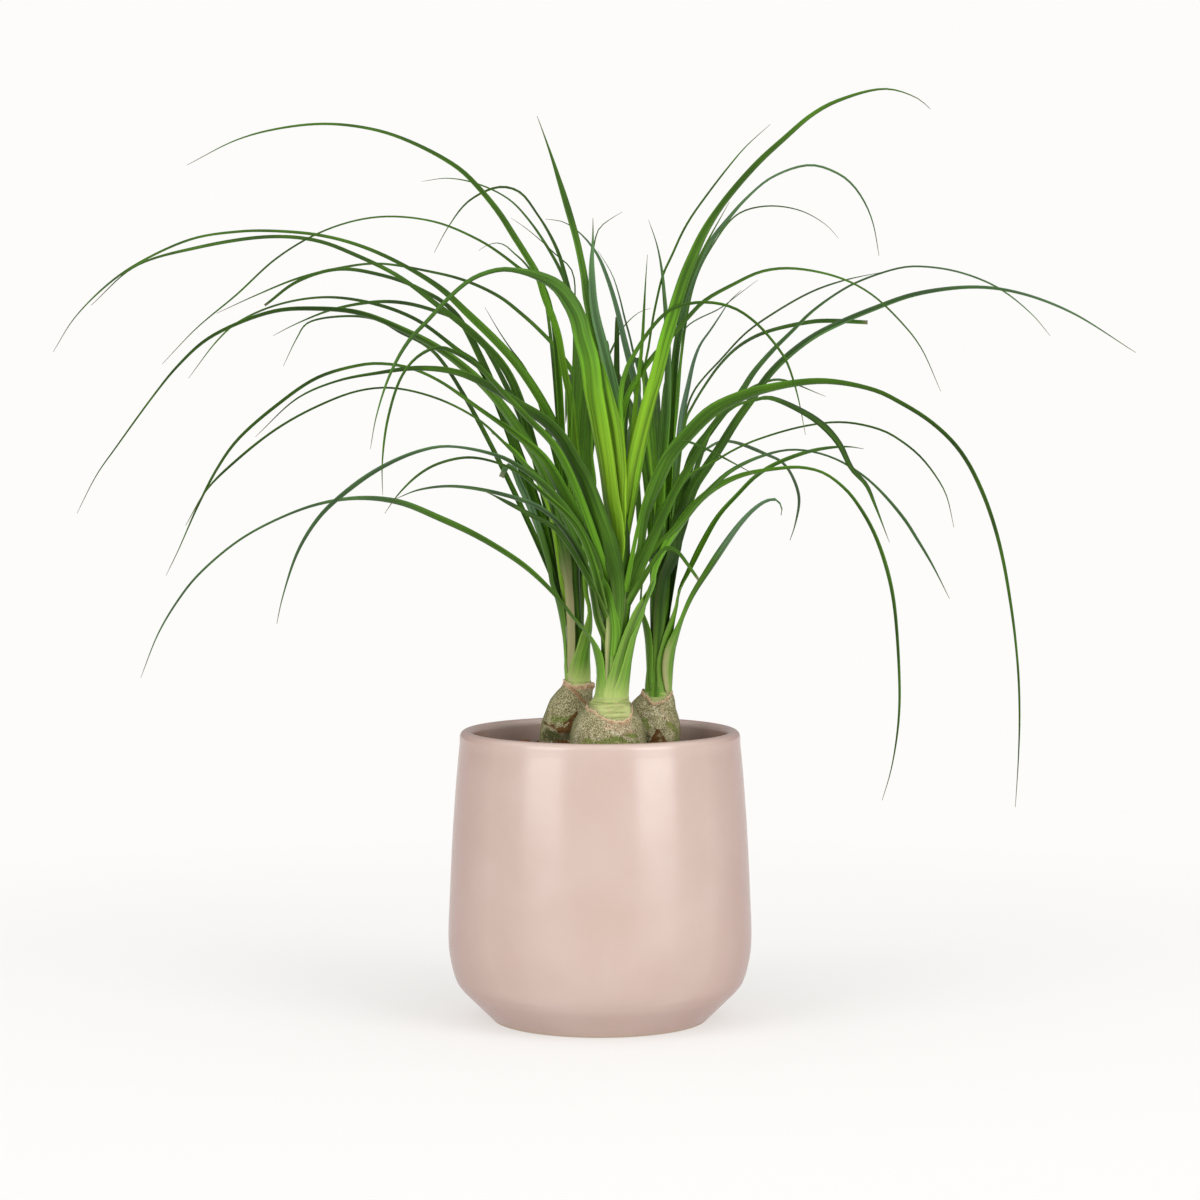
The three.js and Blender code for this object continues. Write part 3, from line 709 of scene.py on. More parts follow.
@dataclass
class Pot:
    """The pot: a tapered wall over a bevelled foot, with a rolled lip."""

    height: float = 145
    foot_radius: float = 54
    foot_corner: float = 0.9
    bevel_end: Pair = (68.5, 14.8)
    wall_line: tuple[Pair, ...] = (
        (71.6, 19), (74.15, 27), (75.75, 38), (75.05, 64), (73.35, 98), (71.15, 127),
    )
    shoulder: Pair = (70, 138.5)
    hollow: tuple[Pair, ...] = ((73.35, 98), (75.75, 44), (70.75, 19))
    hollow_foot: float = 59
    wall: float = 6.7
    floor: float = 7
    sectors: int = 192
    thinning: Pair = (0.6, 0.25)
    thinning_reach: float = 2.5
    glaze_line: float = 0.7

    def inside(self, clearance: float = 0) -> list[Pair]:
        """The inside's outline from the rim to the floor's centre."""
        inset = self.wall + clearance
        floor = self.floor + clearance
        side = [(radius - inset, height) for radius, height in (self.shoulder, *self.hollow)]
        return [*side, (self.hollow_foot - inset, floor), (0, floor)]

    def outline(self) -> list[Pair]:
        """The whole outline, from under the foot, over the lip, to the floor's edge."""
        lip = self.wall / 2
        corner = self.foot_corner
        foot = [(20, 0), (40, 0), (self.foot_radius - corner, 0)]
        turn = arc((self.foot_radius - corner, corner), corner, -90, -43, 4)
        (r0, z0), (r1, z1), steps = turn[-1], self.bevel_end, 6
        bevel = [(blend(r0, r1, k / steps), blend(z0, z1, k / steps)) for k in range(1, steps)]
        wall = smooth_outline([self.bevel_end, *self.wall_line, self.shoulder], 1.6)
        roll = arc((self.shoulder[0] - lip, self.height - lip), lip, 0, 180, 18)
        down = smooth_outline(self.inside()[:-1], 3)
        return [*foot, *turn, *bevel, *wall, *roll, *down]

    def glaze_tints(self, radius: float, height: float) -> dict[str, float]:
        """How thin the glaze is, and how bare the clay, at a point of the outline."""
        inner = radius < self.shoulder[0] - self.wall and height > self.floor - 1
        thin = 0.0
        edges = (self.height, True), (self.bevel_end[1], not inner)
        for most, (line, there) in zip(self.thinning, edges):
            thin += most * math.exp(-(((height - line) / self.thinning_reach) ** 2)) * there
        bare = ease(self.glaze_line, 0.2, height) if height < self.glaze_line else 0.0
        return {"thin": thin, "bare": bare}

    def build(self, finish: Material) -> Object:
        """Turns the outline into the pot.

        Args:
            finish: The glaze.

        Returns:
            The pot.
        """
        draft = Draft()
        rings = []
        for radius, height in self.outline():
            tints = self.glaze_tints(radius, height)
            ring = round_ring(radius, self.sectors)
            rings.append([draft.add(Vector((x, y, height)), **tints) for x, y in ring])
        draft.skin(rings)
        return draft.finish("glazed_pot", finish, "pot", "pot_glaze")


# --- plants


class MarkKind(Enum):
    """What a mark on a swollen base is. Each is a tint that the bark reads."""

    RIDGE = "ridge"
    TAN = "tan"
    # Dark patches that stand in for shade on the bulb: painted shade.
    PAINTED_SHADE = "painted_shade"
    MOSS = "moss"
    SCRAPE = "scrape"
    RAG = "rag"


@dataclass(frozen=True)
class Mark:
    """A mark on the bark, as it is seen from the front or, mirrored, from behind.

    Attributes:
        kind: What it is.
        width: How wide it is.
        route: Its [x, height] points.
        raised: How far it stands up.
        behind: Whether it lies on the far side.
    """

    kind: MarkKind
    width: float
    route: tuple[Pair, ...]
    raised: float = 0.0
    behind: bool = False


@dataclass(frozen=True)
class Leaf:
    """A leaf as the camera sees it.

    Attributes:
        widths: Its seen width at even steps from where it parts from the column to its tip.
        depth: How far behind its plant's middle the tip lies.
        tone: 0 for the youngest yellow-green, 1 for the oldest deep green.
        route: [x, height] points from low to the tip, in the plane y = 0 until they are moved
            along the line of sight.
        blade: The blade's own full width at its root. It shows less where the blade turns.
        bluish: How much bluish grey-green the seen side has, partly the leaf's own bloom and partly painted
            sheen of the sky.
        beige: How far the margins of its sheath have dried, as a share.
        clasp: How far its sheath reaches round the column each way at its foot, in radians.
        cut: Whether its end is cut off bluntly.
        wrap: [height, left x, right x] rows of its base where that is seen on the column.
        pale: How far the foot of its base is blanched.
        dry_to: How far above the neck its margins are dry.
    """

    widths: tuple[float, ...]
    depth: float
    tone: float
    route: tuple[Pair, ...]
    blade: float = 8
    bluish: float = 0.0
    beige: float = 0.1
    clasp: float = 0.9
    cut: bool = False
    wrap: tuple[Triple, ...] = ()
    pale: float = 0.3
    dry_to: float = 75


@dataclass(frozen=True)
class FarLeaf:
    """A leaf that the plant itself hides from the camera, by its direction and heights."""

    width: float
    azimuth: float
    reach: float
    crest: float
    tip: float


@dataclass(frozen=True)
class Plant:
    """One of the three plants.

    Attributes:
        name: What it is called in the frame.
        x: Where it stands.
        y: Where it stands.
        bulb: [radius, height] pairs of its swollen base, lowest first.
        column: [height, x, radius] rows of its column of sheaths, lowest first.
        roots: Heights at which the outermost and the innermost leaf part from the column.
        husk: [angle, height, breadth, spread] rows of the dried leaf bases round the neck, with
            angles from the front to the right.
        fresh_from: The height above which the bark is still fresh, by the same angles.
        marks: The marks on its bark.
        leaves: Its leaves that are seen, outermost first.
        far_leaves: Its leaves behind those, outermost first.
    """

    name: str
    x: float
    y: float
    bulb: tuple[Pair, ...]
    column: tuple[Triple, ...]
    roots: Pair
    husk: tuple[tuple[float, float, float, float], ...]
    fresh_from: tuple[Pair, ...]
    marks: tuple[Mark, ...]
    leaves: tuple[Leaf, ...]
    far_leaves: tuple[FarLeaf, ...]

    @property
    def neck(self) -> float:
        """The height at which the bulb ends and the leaves start."""
        return self.bulb[-1][1]

    def axis(self, height: float) -> float:
        """The x of the bulb's and column's middle at a height."""
        if height <= self.neck:
            return blend(self.x, self.column[0][1], ease(self.neck - 11, self.neck, height))
        return table_value(self.column, height, 1)

    def bulb_radius(self, height: float) -> float:
        """The radius of the bulb at a height, and of the neck above it."""
        return table_value([(z, r) for r, z in self.bulb], height, 1)

    def column_radius(self, height: float) -> float:
        """The radius of the column of sheaths at a height."""
        return table_value(self.column, height, 2)

    def skin_radius(self, height: float) -> float:
        """The radius of whatever is outermost at a height."""
        return self.bulb_radius(height) if height <= self.neck else self.column_radius(height)

    def side(self, angle: float, radius: float, height: float) -> Vector:
        """The point at an angle from the front, a radius from the axis and a height."""
        turn = math.radians(angle)
        return Vector((self.axis(height) + radius * math.sin(turn), self.y - radius * math.cos(turn), height))


RIDGE, TAN, PAINTED_SHADE, MOSS, SCRAPE, RAG = MarkKind

FRONT_LEAVES = (
    Leaf((2.2, 2, 1.4, 0.6), -30, 0.7, ((22.6, 208), (24.8, 214), (27, 220)), 4, pale=0.55,
        wrap=((156.6, 0.4, 14), (160, 1, 14.4), (162, 3.2, 14.3), (164, 5.2, 14.3), (166.5, 7, 14.3),
        (169, 8.4, 14.5), (173, 9.7, 15), (178, 11.2, 15.5), (184, 12.8, 16.5), (190, 14.6, 17.7),
        (196, 16.9, 19.6), (203, 19.7, 22.1))),
    Leaf((5.6, 5, 3.3, 1.8, 1.3, 1.7, 1.9, 1.5, 1.2, 0.95, 0.4), -90, 0.75, ((27.6, 223.5), (30.4, 231),
        (36.4, 241.5), (45, 253.5), (52, 261), (60.5, 267), (72, 272), (89, 275), (100, 275.5), (111, 272.8),
        (122, 264.5), (129, 255.5), (136, 243), (142, 226.5), (146, 208.5), (149, 171), (149, 153),
        (147.5, 137.5), (145, 123.5), (141, 109.5)), pale=0.6, wrap=((157, 0.9, 14), (160, 0.8, 14.3),
        (163, 0.9, 14.2), (166, 1.9, 14.2), (170, 3.4, 14.4), (175, 5.3, 14.9), (180, 7, 15.4),
        (185, 8.9, 16.3), (190, 10.5, 17.3), (195, 12.5, 19), (200, 14.7, 20.6), (205, 16.9, 22.6),
        (210, 19.1, 24.6), (217, 22.4, 27.2))),
    Leaf((2.8, 2.6, 2.8, 3.2, 2.9, 1.6, 1.1, 1, 1, 0.9, 0.4), -105, 0.9, ((-20, 209), (-30, 219.5),
        (-40, 228), (-60, 240.5), (-80, 250), (-100, 258), (-120, 260.2), (-140, 257.3), (-160, 250),
        (-180, 239), (-200, 222), (-210, 209.5), (-220, 193), (-229, 171)), bluish=0.3, pale=0.4,
        wrap=((157, -3.6, 2), (160, -3, 2.3), (163, -2.4, 2.6), (166, -2, 2.8), (170, -1.9, 2.6),
        (175, -2.4, 2.1), (180, -3.1, 1.6), (183, -3.8, 0.8), (186, -4.4, -0.8), (190, -5.8, -2.8),
        (195, -9.2, -6), (199, -12.4, -9.2))),
    Leaf((3.4, 3, 3, 2.8, 2.4, 2.2, 1.9, 1.6, 1.2, 1, 0.4), -170, 0.9, ((0.2, 190), (-1.4, 200), (-3.3, 210),
        (-5.4, 220), (-9, 230), (-14, 239), (-20, 247), (-30, 255.5), (-50, 262.5), (-73, 266.2),
        (-90, 264.5), (-102, 260)), blade=5, bluish=0.3, clasp=0.4),
    Leaf((6, 5, 5, 4, 2, 1.2, 1.8, 2.4, 1.8, 1.3, 0.5), -80, 0.95, ((-2, 225), (-10, 243), (-20, 257.5),
        (-30, 268.2), (-40, 275.6), (-50, 281), (-75, 286), (-90, 283.5), (-110, 274.5), (-130, 260),
        (-140, 250), (-150, 234), (-158, 211), (-161, 198)), bluish=0.4, clasp=1.3),
    Leaf((7, 6.8, 5, 2.2, 1.4, 1.4, 1.6, 1.6, 1.3, 1, 0.4), -20, 0.85, ((-8, 243), (-18, 262), (-28, 279),
        (-40, 290), (-60, 304.5), (-80, 318.5), (-95, 325), (-110, 327), (-120, 326), (-140, 320),
        (-160, 306.5), (-180, 289), (-190, 275), (-200, 256), (-210, 234), (-216, 222)), beige=0.9, pale=0.5,
        dry_to=50, wrap=((165, 1.2, 8), (172, 1.5, 9), (180, 1.8, 9.5), (190, 2, 11), (195, 2.3, 11),
        (200, 2.6, 9.5), (205, 2.4, 8), (210, 1.2, 6.6), (215, -0.4, 5), (220, -2.4, 3.6), (227, -5.2, 2))),
    Leaf((8.4, 8.6, 7.6, 6, 4.8, 3.6, 2.6, 1.6, 1, 0.8, 0.4), -60, 0.88, ((4, 238), (1.6, 245), (-1.2, 252),
        (-4.2, 260), (-8, 269.5), (-14, 280), (-19.7, 290), (-28, 298.5), (-40, 306), (-50, 312.5),
        (-70, 322), (-90, 324.5), (-110, 322.3), (-130, 318.5), (-150, 310), (-171, 291)), blade=10,
        wrap=((175, 4.8, 12), (190, 5, 12), (200, 5.4, 12), (210, 5.8, 12.6), (220, 4.4, 12.8),
        (230, 1.8, 11))),
    Leaf((4, 4, 3.5, 3, 2.2, 1.2, 1.1, 1.2, 1.2, 1, 0.4), -140, 0.9, ((-10, 243), (-30, 264), (-40, 272.5),
        (-50, 277.5), (-65, 280.5), (-80, 277.5), (-90, 272), (-100, 262.5), (-107, 253)), blade=5),
    Leaf((3, 3, 2.8, 2.6, 2.4, 2, 0.8), -110, 0.9, ((-20, 243), (-36, 253), (-50, 260.5), (-57, 263.8)),
        blade=4),
    Leaf((4, 3.5, 3, 2, 1.1, 1, 0.9, 1, 1.1, 1.5, 0.5), -45, 0.9, ((-24, 262), (-40, 279.6), (-50, 290),
        (-60, 299), (-80, 309.5), (-103, 315), (-120, 313.5), (-140, 306), (-160, 295), (-180, 279.5),
        (-195, 265), (-206, 247)), blade=6),
    Leaf((5.5, 7, 7, 3.8, 2.2, 2, 2, 1.6, 1.1, 1, 0.4), -40, 0.88, ((23.4, 252), (28.6, 267), (35, 281),
        (45, 293), (56, 303.5), (69, 310), (80, 313.5), (110, 318), (136, 313.7), (149, 307.5), (163, 298.8),
        (174.5, 288.5), (182.3, 278), (190.3, 261.8), (196.2, 245.2), (200.4, 228.8), (203.8, 210.4),
        (206.5, 192), (208.5, 171), (209.2, 150), (208.8, 129), (207.6, 106)), blade=9, wrap=((180, 9, 14.5),
        (195, 11, 15.5), (205, 12.4, 16.6), (215, 13, 18), (225, 14.6, 20.4), (235, 15, 22))),
    Leaf((3, 3, 2.4, 2, 1.8, 1.4), -60, 0.9, ((22, 222), (33, 236), (38.5, 234), (44, 227), (49, 220)), 4,
        cut=True),
    Leaf((2.5, 2.2, 1.8, 1.4, 1.2, 1.1, 0.5), -90, 0.7, ((24, 266), (36, 286), (42, 289), (48, 287.2),
        (55, 284), (72, 275), (77.5, 272)), blade=3),
    Leaf((5, 4, 3.2, 2.8, 1.9, 1, 0.9, 1.1, 1.6, 1.5, 0.4), -70, 0.85, ((20, 225), (33, 240), (41, 248.2),
        (48, 257), (56, 265.5), (65, 273.6), (80, 281), (95.6, 284.4), (114, 281), (132, 270.5),
        (149.8, 251.6), (158, 239.3), (165, 227.7), (174, 210.5)), blade=6, bluish=0.3),
    Leaf((6, 5.5, 5, 4, 2, 1.2, 2.6, 3.4, 2.4, 1.8, 0.4), -140, 0.8, ((36, 263), (43, 275), (50, 287),
        (57, 298), (67, 306.5), (76, 309.4), (84, 310.8), (101, 303.7), (111, 296.7), (119, 287.5),
        (125.3, 275.3), (132.4, 267.4), (136.8, 257.5), (144, 238.5)), blade=7),
    Leaf((3, 3, 2.2, 1.3, 1, 0.9, 0.9, 1, 1, 0.9, 0.4), -50, 0.9, ((44, 271), (56, 278), (66, 284),
        (77, 289), (101, 296), (121, 298), (140, 294), (150, 288.4), (159, 281), (167, 271), (172, 262),
        (176, 246)), blade=4),
    Leaf((5, 5, 4.5, 4, 3, 2.6, 2, 1.3, 1.2, 1.1, 0.4), -110, 0.75, ((-20, 282), (-36, 300), (-50, 314.5),
        (-60, 325), (-70, 331.5), (-80, 334.9), (-90, 330.6), (-98, 321), (-105, 300), (-108, 278),
        (-108, 262)), blade=6),
    Leaf((3, 8.4, 8.4, 9.4, 10, 8.2, 2.4, 2, 1.9, 1.3, 0.4), -60, 0.1, ((7.8, 237), (7.2, 243), (6.5, 250),
        (4.9, 258), (3.7, 268), (2.2, 280), (0.4, 291), (-1.6, 303), (-3.2, 312), (-4, 320), (-5.5, 330),
        (-8.5, 340), (-11, 350), (-16, 359), (-22, 365.5), (-30, 369.5), (-38, 372), (-48, 373.3),
        (-58, 371), (-65, 367.5), (-75, 359), (-85, 348.3), (-95, 337.5), (-104, 321.5), (-111, 300.6),
        (-114, 285)), blade=12, bluish=0.1),
    Leaf((0.6, 0.8, 1.6, 2.8, 2.6, 2, 1.6, 1.4, 1.3, 1.2, 0.4), -25, 0.45, ((11.5, 262), (11.5, 280),
        (10.8, 297), (10.3, 308), (11.5, 318), (14, 326), (17, 331.5), (23, 341), (29, 348.5), (34, 353),
        (41, 356), (53.5, 357.3), (66, 354.6), (76.5, 347.8), (86, 337.6), (92, 329), (95.6, 319.6),
        (98.5, 309), (102, 292)), blade=4),
    Leaf((4, 3.6, 3, 3, 2.6, 2, 1.5, 1.1, 0.9, 0.8, 0.4), 5, 0.5, ((10.6, 290), (11.4, 301), (14, 311),
        (18, 318.5), (27, 331), (34, 338.6), (44, 350), (52, 358), (66, 366), (80, 372.4), (95, 374),
        (118, 369.6), (134, 361.5), (150, 346.6), (159, 335), (169, 313.5)), blade=5),
    Leaf((3.5, 3.5, 3.5, 3.2, 3.2, 3.6, 3.2, 2.4, 1.8, 0.8, 0.4), 15, 0.6, ((19.5, 300), (18.5, 310),
        (16.5, 320), (14, 330), (11.5, 340), (9.2, 350), (6.5, 360), (3.2, 370), (-1, 380), (-5, 386),
        (-10, 391.5), (-18, 397), (-27, 398.5)), blade=6, bluish=0.6),
    Leaf((2, 2, 2, 1.8, 1.5, 1.2, 1, 0.7, 0.3), 18, 0.5, ((19.5, 318), (16.5, 332), (14.5, 341), (12, 350),
        (9.6, 360), (6, 371), (-1, 383)), blade=3, bluish=0.4),
    Leaf((4, 3.5, 3, 3, 3, 3.6, 4, 3.4, 3.4, 2, 0.5), 14, 0.35, ((9.5, 245), (8, 262), (6, 280), (3.5, 300),
        (1, 318), (-1, 330), (-3, 340), (-4.8, 350), (-6.6, 360), (-7.8, 370), (-9.7, 380), (-12, 390),
        (-16, 404), (-20, 417), (-25, 432), (-31, 449)), blade=6),
    Leaf((4, 4, 4.6, 5.4, 6.2, 6, 5.4, 4.8, 4, 2.6, 0.5), 8, 0.45, ((10.5, 270), (10, 285), (9, 298),
        (7.5, 310), (5.5, 320), (3, 330), (0.5, 340), (-2, 350), (-3.5, 360), (-4, 370), (-4.1, 378),
        (-3.7, 388), (-3.5, 399)), blade=7, bluish=0.5),
    Leaf((4, 8, 8, 7, 6.6, 5.6, 3.3, 2.9, 2.1, 1.4, 0.5), -38, 0.2, ((12.2, 238), (12.7, 248), (13.8, 260),
        (15.8, 273), (19.2, 288), (25, 310), (28, 320), (30.5, 330), (33, 340), (36, 350), (39, 360),
        (42.3, 370), (46.4, 380), (51, 390), (57, 400), (66, 412), (79, 426.5), (91, 437.5), (105, 449.5),
        (118, 456.5), (141, 462.2), (156.5, 457.7), (163, 452.5)), blade=9),
    Leaf((3, 3, 3, 2.6, 2.2, 1.6, 0.4), -12, 0.3, ((24, 298), (33, 333), (43, 364), (50.5, 382), (64, 407)),
        4),
    Leaf((3, 3, 3, 3, 2.4, 2, 1.6, 1, 0.4), 0, 0.15, ((13.5, 262), (15, 280), (16.8, 295), (18, 310),
        (19.8, 325), (21.2, 340), (22, 355), (22.8, 370), (23.5, 381)), blade=4),
    Leaf((3, 3, 3, 4.4, 6.2, 7.6, 8, 6, 4, 2, 0.5), -14, 0, ((10.2, 250), (9.9, 262), (9.9, 270), (9.5, 278),
        (8.8, 286), (7.6, 296), (5.4, 307), (2.6, 320), (-1, 334)), blade=9),
)

FRONT = Plant(
    name="front",
    x=4,
    y=-18,
    bulb=((7, 117), (13, 121), (17.2, 128), (19, 137.9), (18.9, 142.4), (18.2, 147.3), (16.6, 151.6),
        (14.8, 154.6), (12.9, 156.9), (10.9, 158.9), (9.5, 161), (8.6, 163.3), (8.1, 166.1)),
    column=((166.1, 5.9, 7.9), (173.5, 6.1, 8), (183.4, 6.3, 8.8), (191.3, 6.5, 9.9), (204.2, 7.9, 11.3),
        (223, 8.9, 11.1), (241.8, 9.3, 9.9), (262.6, 9.7, 6.9), (276.4, 9.9, 3)),
    roots=(182, 228),
    husk=((-180, 159.9, 1.1, 0), (-120, 159.7, 1.1, 0), (-75, 158.7, 1.2, 0), (-28, 156.4, 1.2, 0),
        (-4, 153.2, 1.2, 0), (7, 152.1, 1.4, 0), (25, 151.7, 1.8, 0), (40, 152.9, 1.6, 0),
        (56, 155.9, 1.2, 0), (75, 158.5, 1.1, 0), (120, 159.7, 1.1, 0), (180, 159.9, 1.1, 0)),
    fresh_from=((-180, 159.7), (-75, 159.1), (-28, 156.9), (-4, 153.6), (7, 152.6), (40, 152.5), (56, 155.5),
        (75, 158.9), (180, 159.7)),
    marks=(
        Mark(TAN, 5, ((3.9, 150.4), (8.8, 149), (14.7, 150))),
        Mark(SCRAPE, 3, ((5.5, 147.6), (9, 146.4), (12.4, 148.8))),
        Mark(SCRAPE, 4, ((-10, 150), (-11.5, 146), (-12, 141))),
        Mark(MOSS, 6, ((-6.9, 142.1), (-2.9, 141.6), (1, 141.1))),
        Mark(MOSS, 5, ((2.9, 142.6), (8.8, 144.1), (12.7, 141.6))),
        Mark(MOSS, 3.5, ((12.7, 146.5), (17.6, 144.6))),
        Mark(MOSS, 8, ((-13.7, 137.7), (0, 136.7), (13.7, 137.2))),
        Mark(TAN, 3, ((-7.8, 150.4), (0, 144.6)), behind=True),
        Mark(MOSS, 7, ((-11.8, 140.6), (5.9, 139.7)), behind=True),
    ),
    leaves=FRONT_LEAVES,
    far_leaves=(FarLeaf(7, 74, 60, 330, 312), FarLeaf(7, 98, 42, 338, 324), FarLeaf(6, 88, 32, 350, 345)),
)

LEFT_LEAVES = (
    Leaf((3.8, 4, 3.8, 3.2, 2.4, 0.8), -8, 0.55, ((-6.4, 213), (-7, 224), (-7.6, 238), (-8, 254)), 5,
        beige=0.15, pale=0.75, wrap=((165, -15.4, -5.4), (168, -17, -5), (171, -16.9, -5),
        (175, -15.4, -5.3), (180, -13.6, -5.5), (185, -12, -5.4), (190, -10.6, -4.9), (195, -9.3, -4.1),
        (200, -8.5, -3.9), (205, -8.4, -4.3))),
    Leaf((4, 4.2, 4.1, 4, 3.8, 3.6, 3.2, 2.6), -30, 1, ((-26, 228), (-30, 243), (-35, 257), (-40, 268),
        (-43.5, 276), (-46, 276.5), (-49, 271)), blade=6, bluish=0.5, cut=True, wrap=((168, -17.6, -16),
        (175, -17.9, -16.5), (180, -17.9, -16.9), (190, -18.6, -17), (200, -20.3, -17.2),
        (210, -22.4, -18.5), (217, -24.6, -20.6))),
    Leaf((3, 2.4, 2.2, 2.2, 2, 1.8, 1.4, 1, 0.5), -20, 0.1, ((-20, 222), (-22.5, 240), (-26, 256),
        (-32, 270), (-42, 284), (-54, 293)), blade=4),
    Leaf((4.8, 5.4, 5.2, 4.4, 3, 2.4, 1.9, 1.6, 0.9, 0.8, 0.4), 10, 0.8, ((-20.5, 243), (-28, 272),
        (-40, 293), (-50, 307), (-60, 318), (-80, 334), (-100, 344.5), (-120, 352), (-142, 354), (-160, 353),
        (-180, 346.5), (-196, 338), (-210, 325), (-220, 313), (-240, 286), (-250, 272), (-260, 253)),
        beige=1.5, pale=0.5, wrap=((166, -17, -12), (170, -17.6, -12), (180, -17.4, -12.5),
        (190, -17.2, -12.3), (200, -17.3, -12.4), (210, -17.4, -12.8), (220, -18.2, -13.8),
        (230, -20, -15.4))),
    Leaf((4, 4, 4, 3.4, 2.8, 1.9, 1.8, 1.2, 1, 1.1, 0.4), 150, 0.8, ((-60, 325), (-70, 333), (-90, 348),
        (-110, 356), (-135, 359.8), (-160, 356), (-180, 347), (-190, 338), (-204, 320)), blade=6),
    Leaf((3, 3, 3, 2.6, 2.4, 2, 1.8, 1.3, 1.2, 1, 0.4), 200, 0.9, ((-80, 330), (-100, 343), (-110, 348.5),
        (-125, 350.5), (-145, 347), (-150, 340), (-157, 326)), blade=5),
    Leaf((4, 4, 4, 3.5, 3, 2, 1.9, 2, 1.6, 1.2, 0.4), 170, 0.85, ((-17, 200), (-17.5, 222), (-20.5, 243),
        (-28, 268), (-44, 310), (-65, 344.5), (-85, 354), (-105, 357.6), (-130, 354.4), (-150, 347),
        (-162, 341)), blade=6, beige=1),
    Leaf((6, 5, 5, 4.6, 4, 2, 1.6, 1.3, 1.1, 1.1, 0.4), 14, 0.75, ((-17, 262), (-19, 285), (-27, 304),
        (-40, 324.5), (-50, 336), (-66, 351.6), (-80, 364.5), (-100, 376.8), (-120, 385.5), (-140, 390.5),
        (-165, 392.5), (-180, 392), (-200, 389), (-220, 381), (-240, 369), (-260, 350), (-271, 333))),
    Leaf((5, 5, 5, 4.5, 3.6, 2.2, 2, 1.8, 1.7, 1.3, 0.5), 90, 0.8, ((-44, 318), (-60, 338.5), (-80, 355),
        (-100, 370), (-120, 380), (-140, 387.5), (-163, 389.5), (-200, 384), (-230, 375), (-252, 356))),
    Leaf((5, 5, 5, 4.5, 4.2, 3.6, 2.2, 1.9, 1.9, 1.8, 1.4), 130, 0.8, ((-70, 349), (-90, 364), (-110, 371),
        (-130, 373.5), (-150, 367.5), (-166, 356)), cut=True),
    Leaf((4, 4, 3.5, 3, 2, 1.7, 1.3, 1.1, 1.3, 1, 0.4), 160, 0.75, ((-10, 312), (-20, 332), (-30, 343.2),
        (-40, 352.3), (-50, 360), (-67, 368), (-85, 372.6), (-110, 376.4), (-130, 374), (-150, 369),
        (-170, 361), (-190, 352)), blade=5),
    Leaf((4, 4, 3.6, 3.2, 1.9, 1.2, 0.9, 0.8, 0.9, 0.9, 0.4), 20, 0.6, ((-28, 365), (-40, 374), (-50, 381.7),
        (-60, 388), (-80, 396.5), (-102, 399.6), (-120, 397.8), (-140, 391), (-160, 379), (-180, 361),
        (-200, 344.5), (-217, 327)), blade=5),
    Leaf((3, 3, 2.8, 2.4, 1.9, 1.5, 1, 0.4), 150, 0.65, ((-28, 362), (-33, 371), (-38, 377.5), (-43, 382),
        (-47, 385.5), (-51, 386.7), (-56, 385.5), (-60, 383)), blade=4),
    Leaf((4, 4, 3.5, 3, 2, 1, 0.6, 0.3), 40, 0.8, ((-20, 270), (-28, 300), (-34, 318), (-38, 326),
        (-44, 334), (-50, 343), (-57, 355)), blade=5),
    Leaf((5, 5, 4.6, 4.4, 4, 3, 2, 1.1, 1.2, 1, 0.4), 100, 0.6, ((-12.5, 350), (-15, 360), (-18, 372),
        (-21, 382), (-26, 392.5), (-31, 400.5), (-40, 411.7), (-50, 414), (-65, 407), (-75, 394.5),
        (-82, 382)), blade=6),
    Leaf((5, 5, 4.5, 4, 3.2, 2.3, 1.8, 1.2, 0.8, 0.8, 0.3), 130, 0.6, ((-11, 345), (-14.5, 358), (-19, 371),
        (-25, 382.5), (-35, 397.5), (-45, 408), (-60, 415.5), (-75, 418.5), (-88, 417)), blade=6),
    Leaf((6, 5, 4.4, 3.4, 3.4, 3.2, 2.3, 1.6, 1.2, 1, 0.4), 0, 0.35, ((-12.5, 280), (-13.5, 290),
        (-14.5, 300), (-15.2, 310), (-17.5, 320), (-19.3, 330), (-21, 340), (-24, 350), (-28, 360),
        (-31, 370), (-36.7, 380), (-43, 390), (-50, 401), (-60, 413.3), (-70, 423), (-90, 434.5),
        (-110, 441.8), (-135, 445), (-160, 442.5), (-180, 437), (-204, 425)), blade=7),
    Leaf((2, 2, 1.6, 1, 0.7, 0.6, 0.3), -6, 0.7, ((-13, 345), (-14, 373), (-22, 381), (-30, 388.5),
        (-38, 395), (-44, 399)), blade=3),
    Leaf((3, 3, 2.6, 2.2, 2, 1.4, 0.7, 0.3), 60, 0.8, ((0, 320), (6, 335), (12, 346), (20, 353),
        (25, 354.5)), 4),
    Leaf((3, 3, 2.4, 1.8, 1.4, 1, 0.3), 30, 0.6, ((-6, 360), (-2, 390.5), (0, 394.5), (5, 398.5), (11, 402)),
        4),
    Leaf((7, 7, 7, 6, 4, 2, 0.8), 20, 0.75, ((-5, 265), (-6, 280), (-6, 295), (-6, 310), (-6.5, 330)), 8),
)

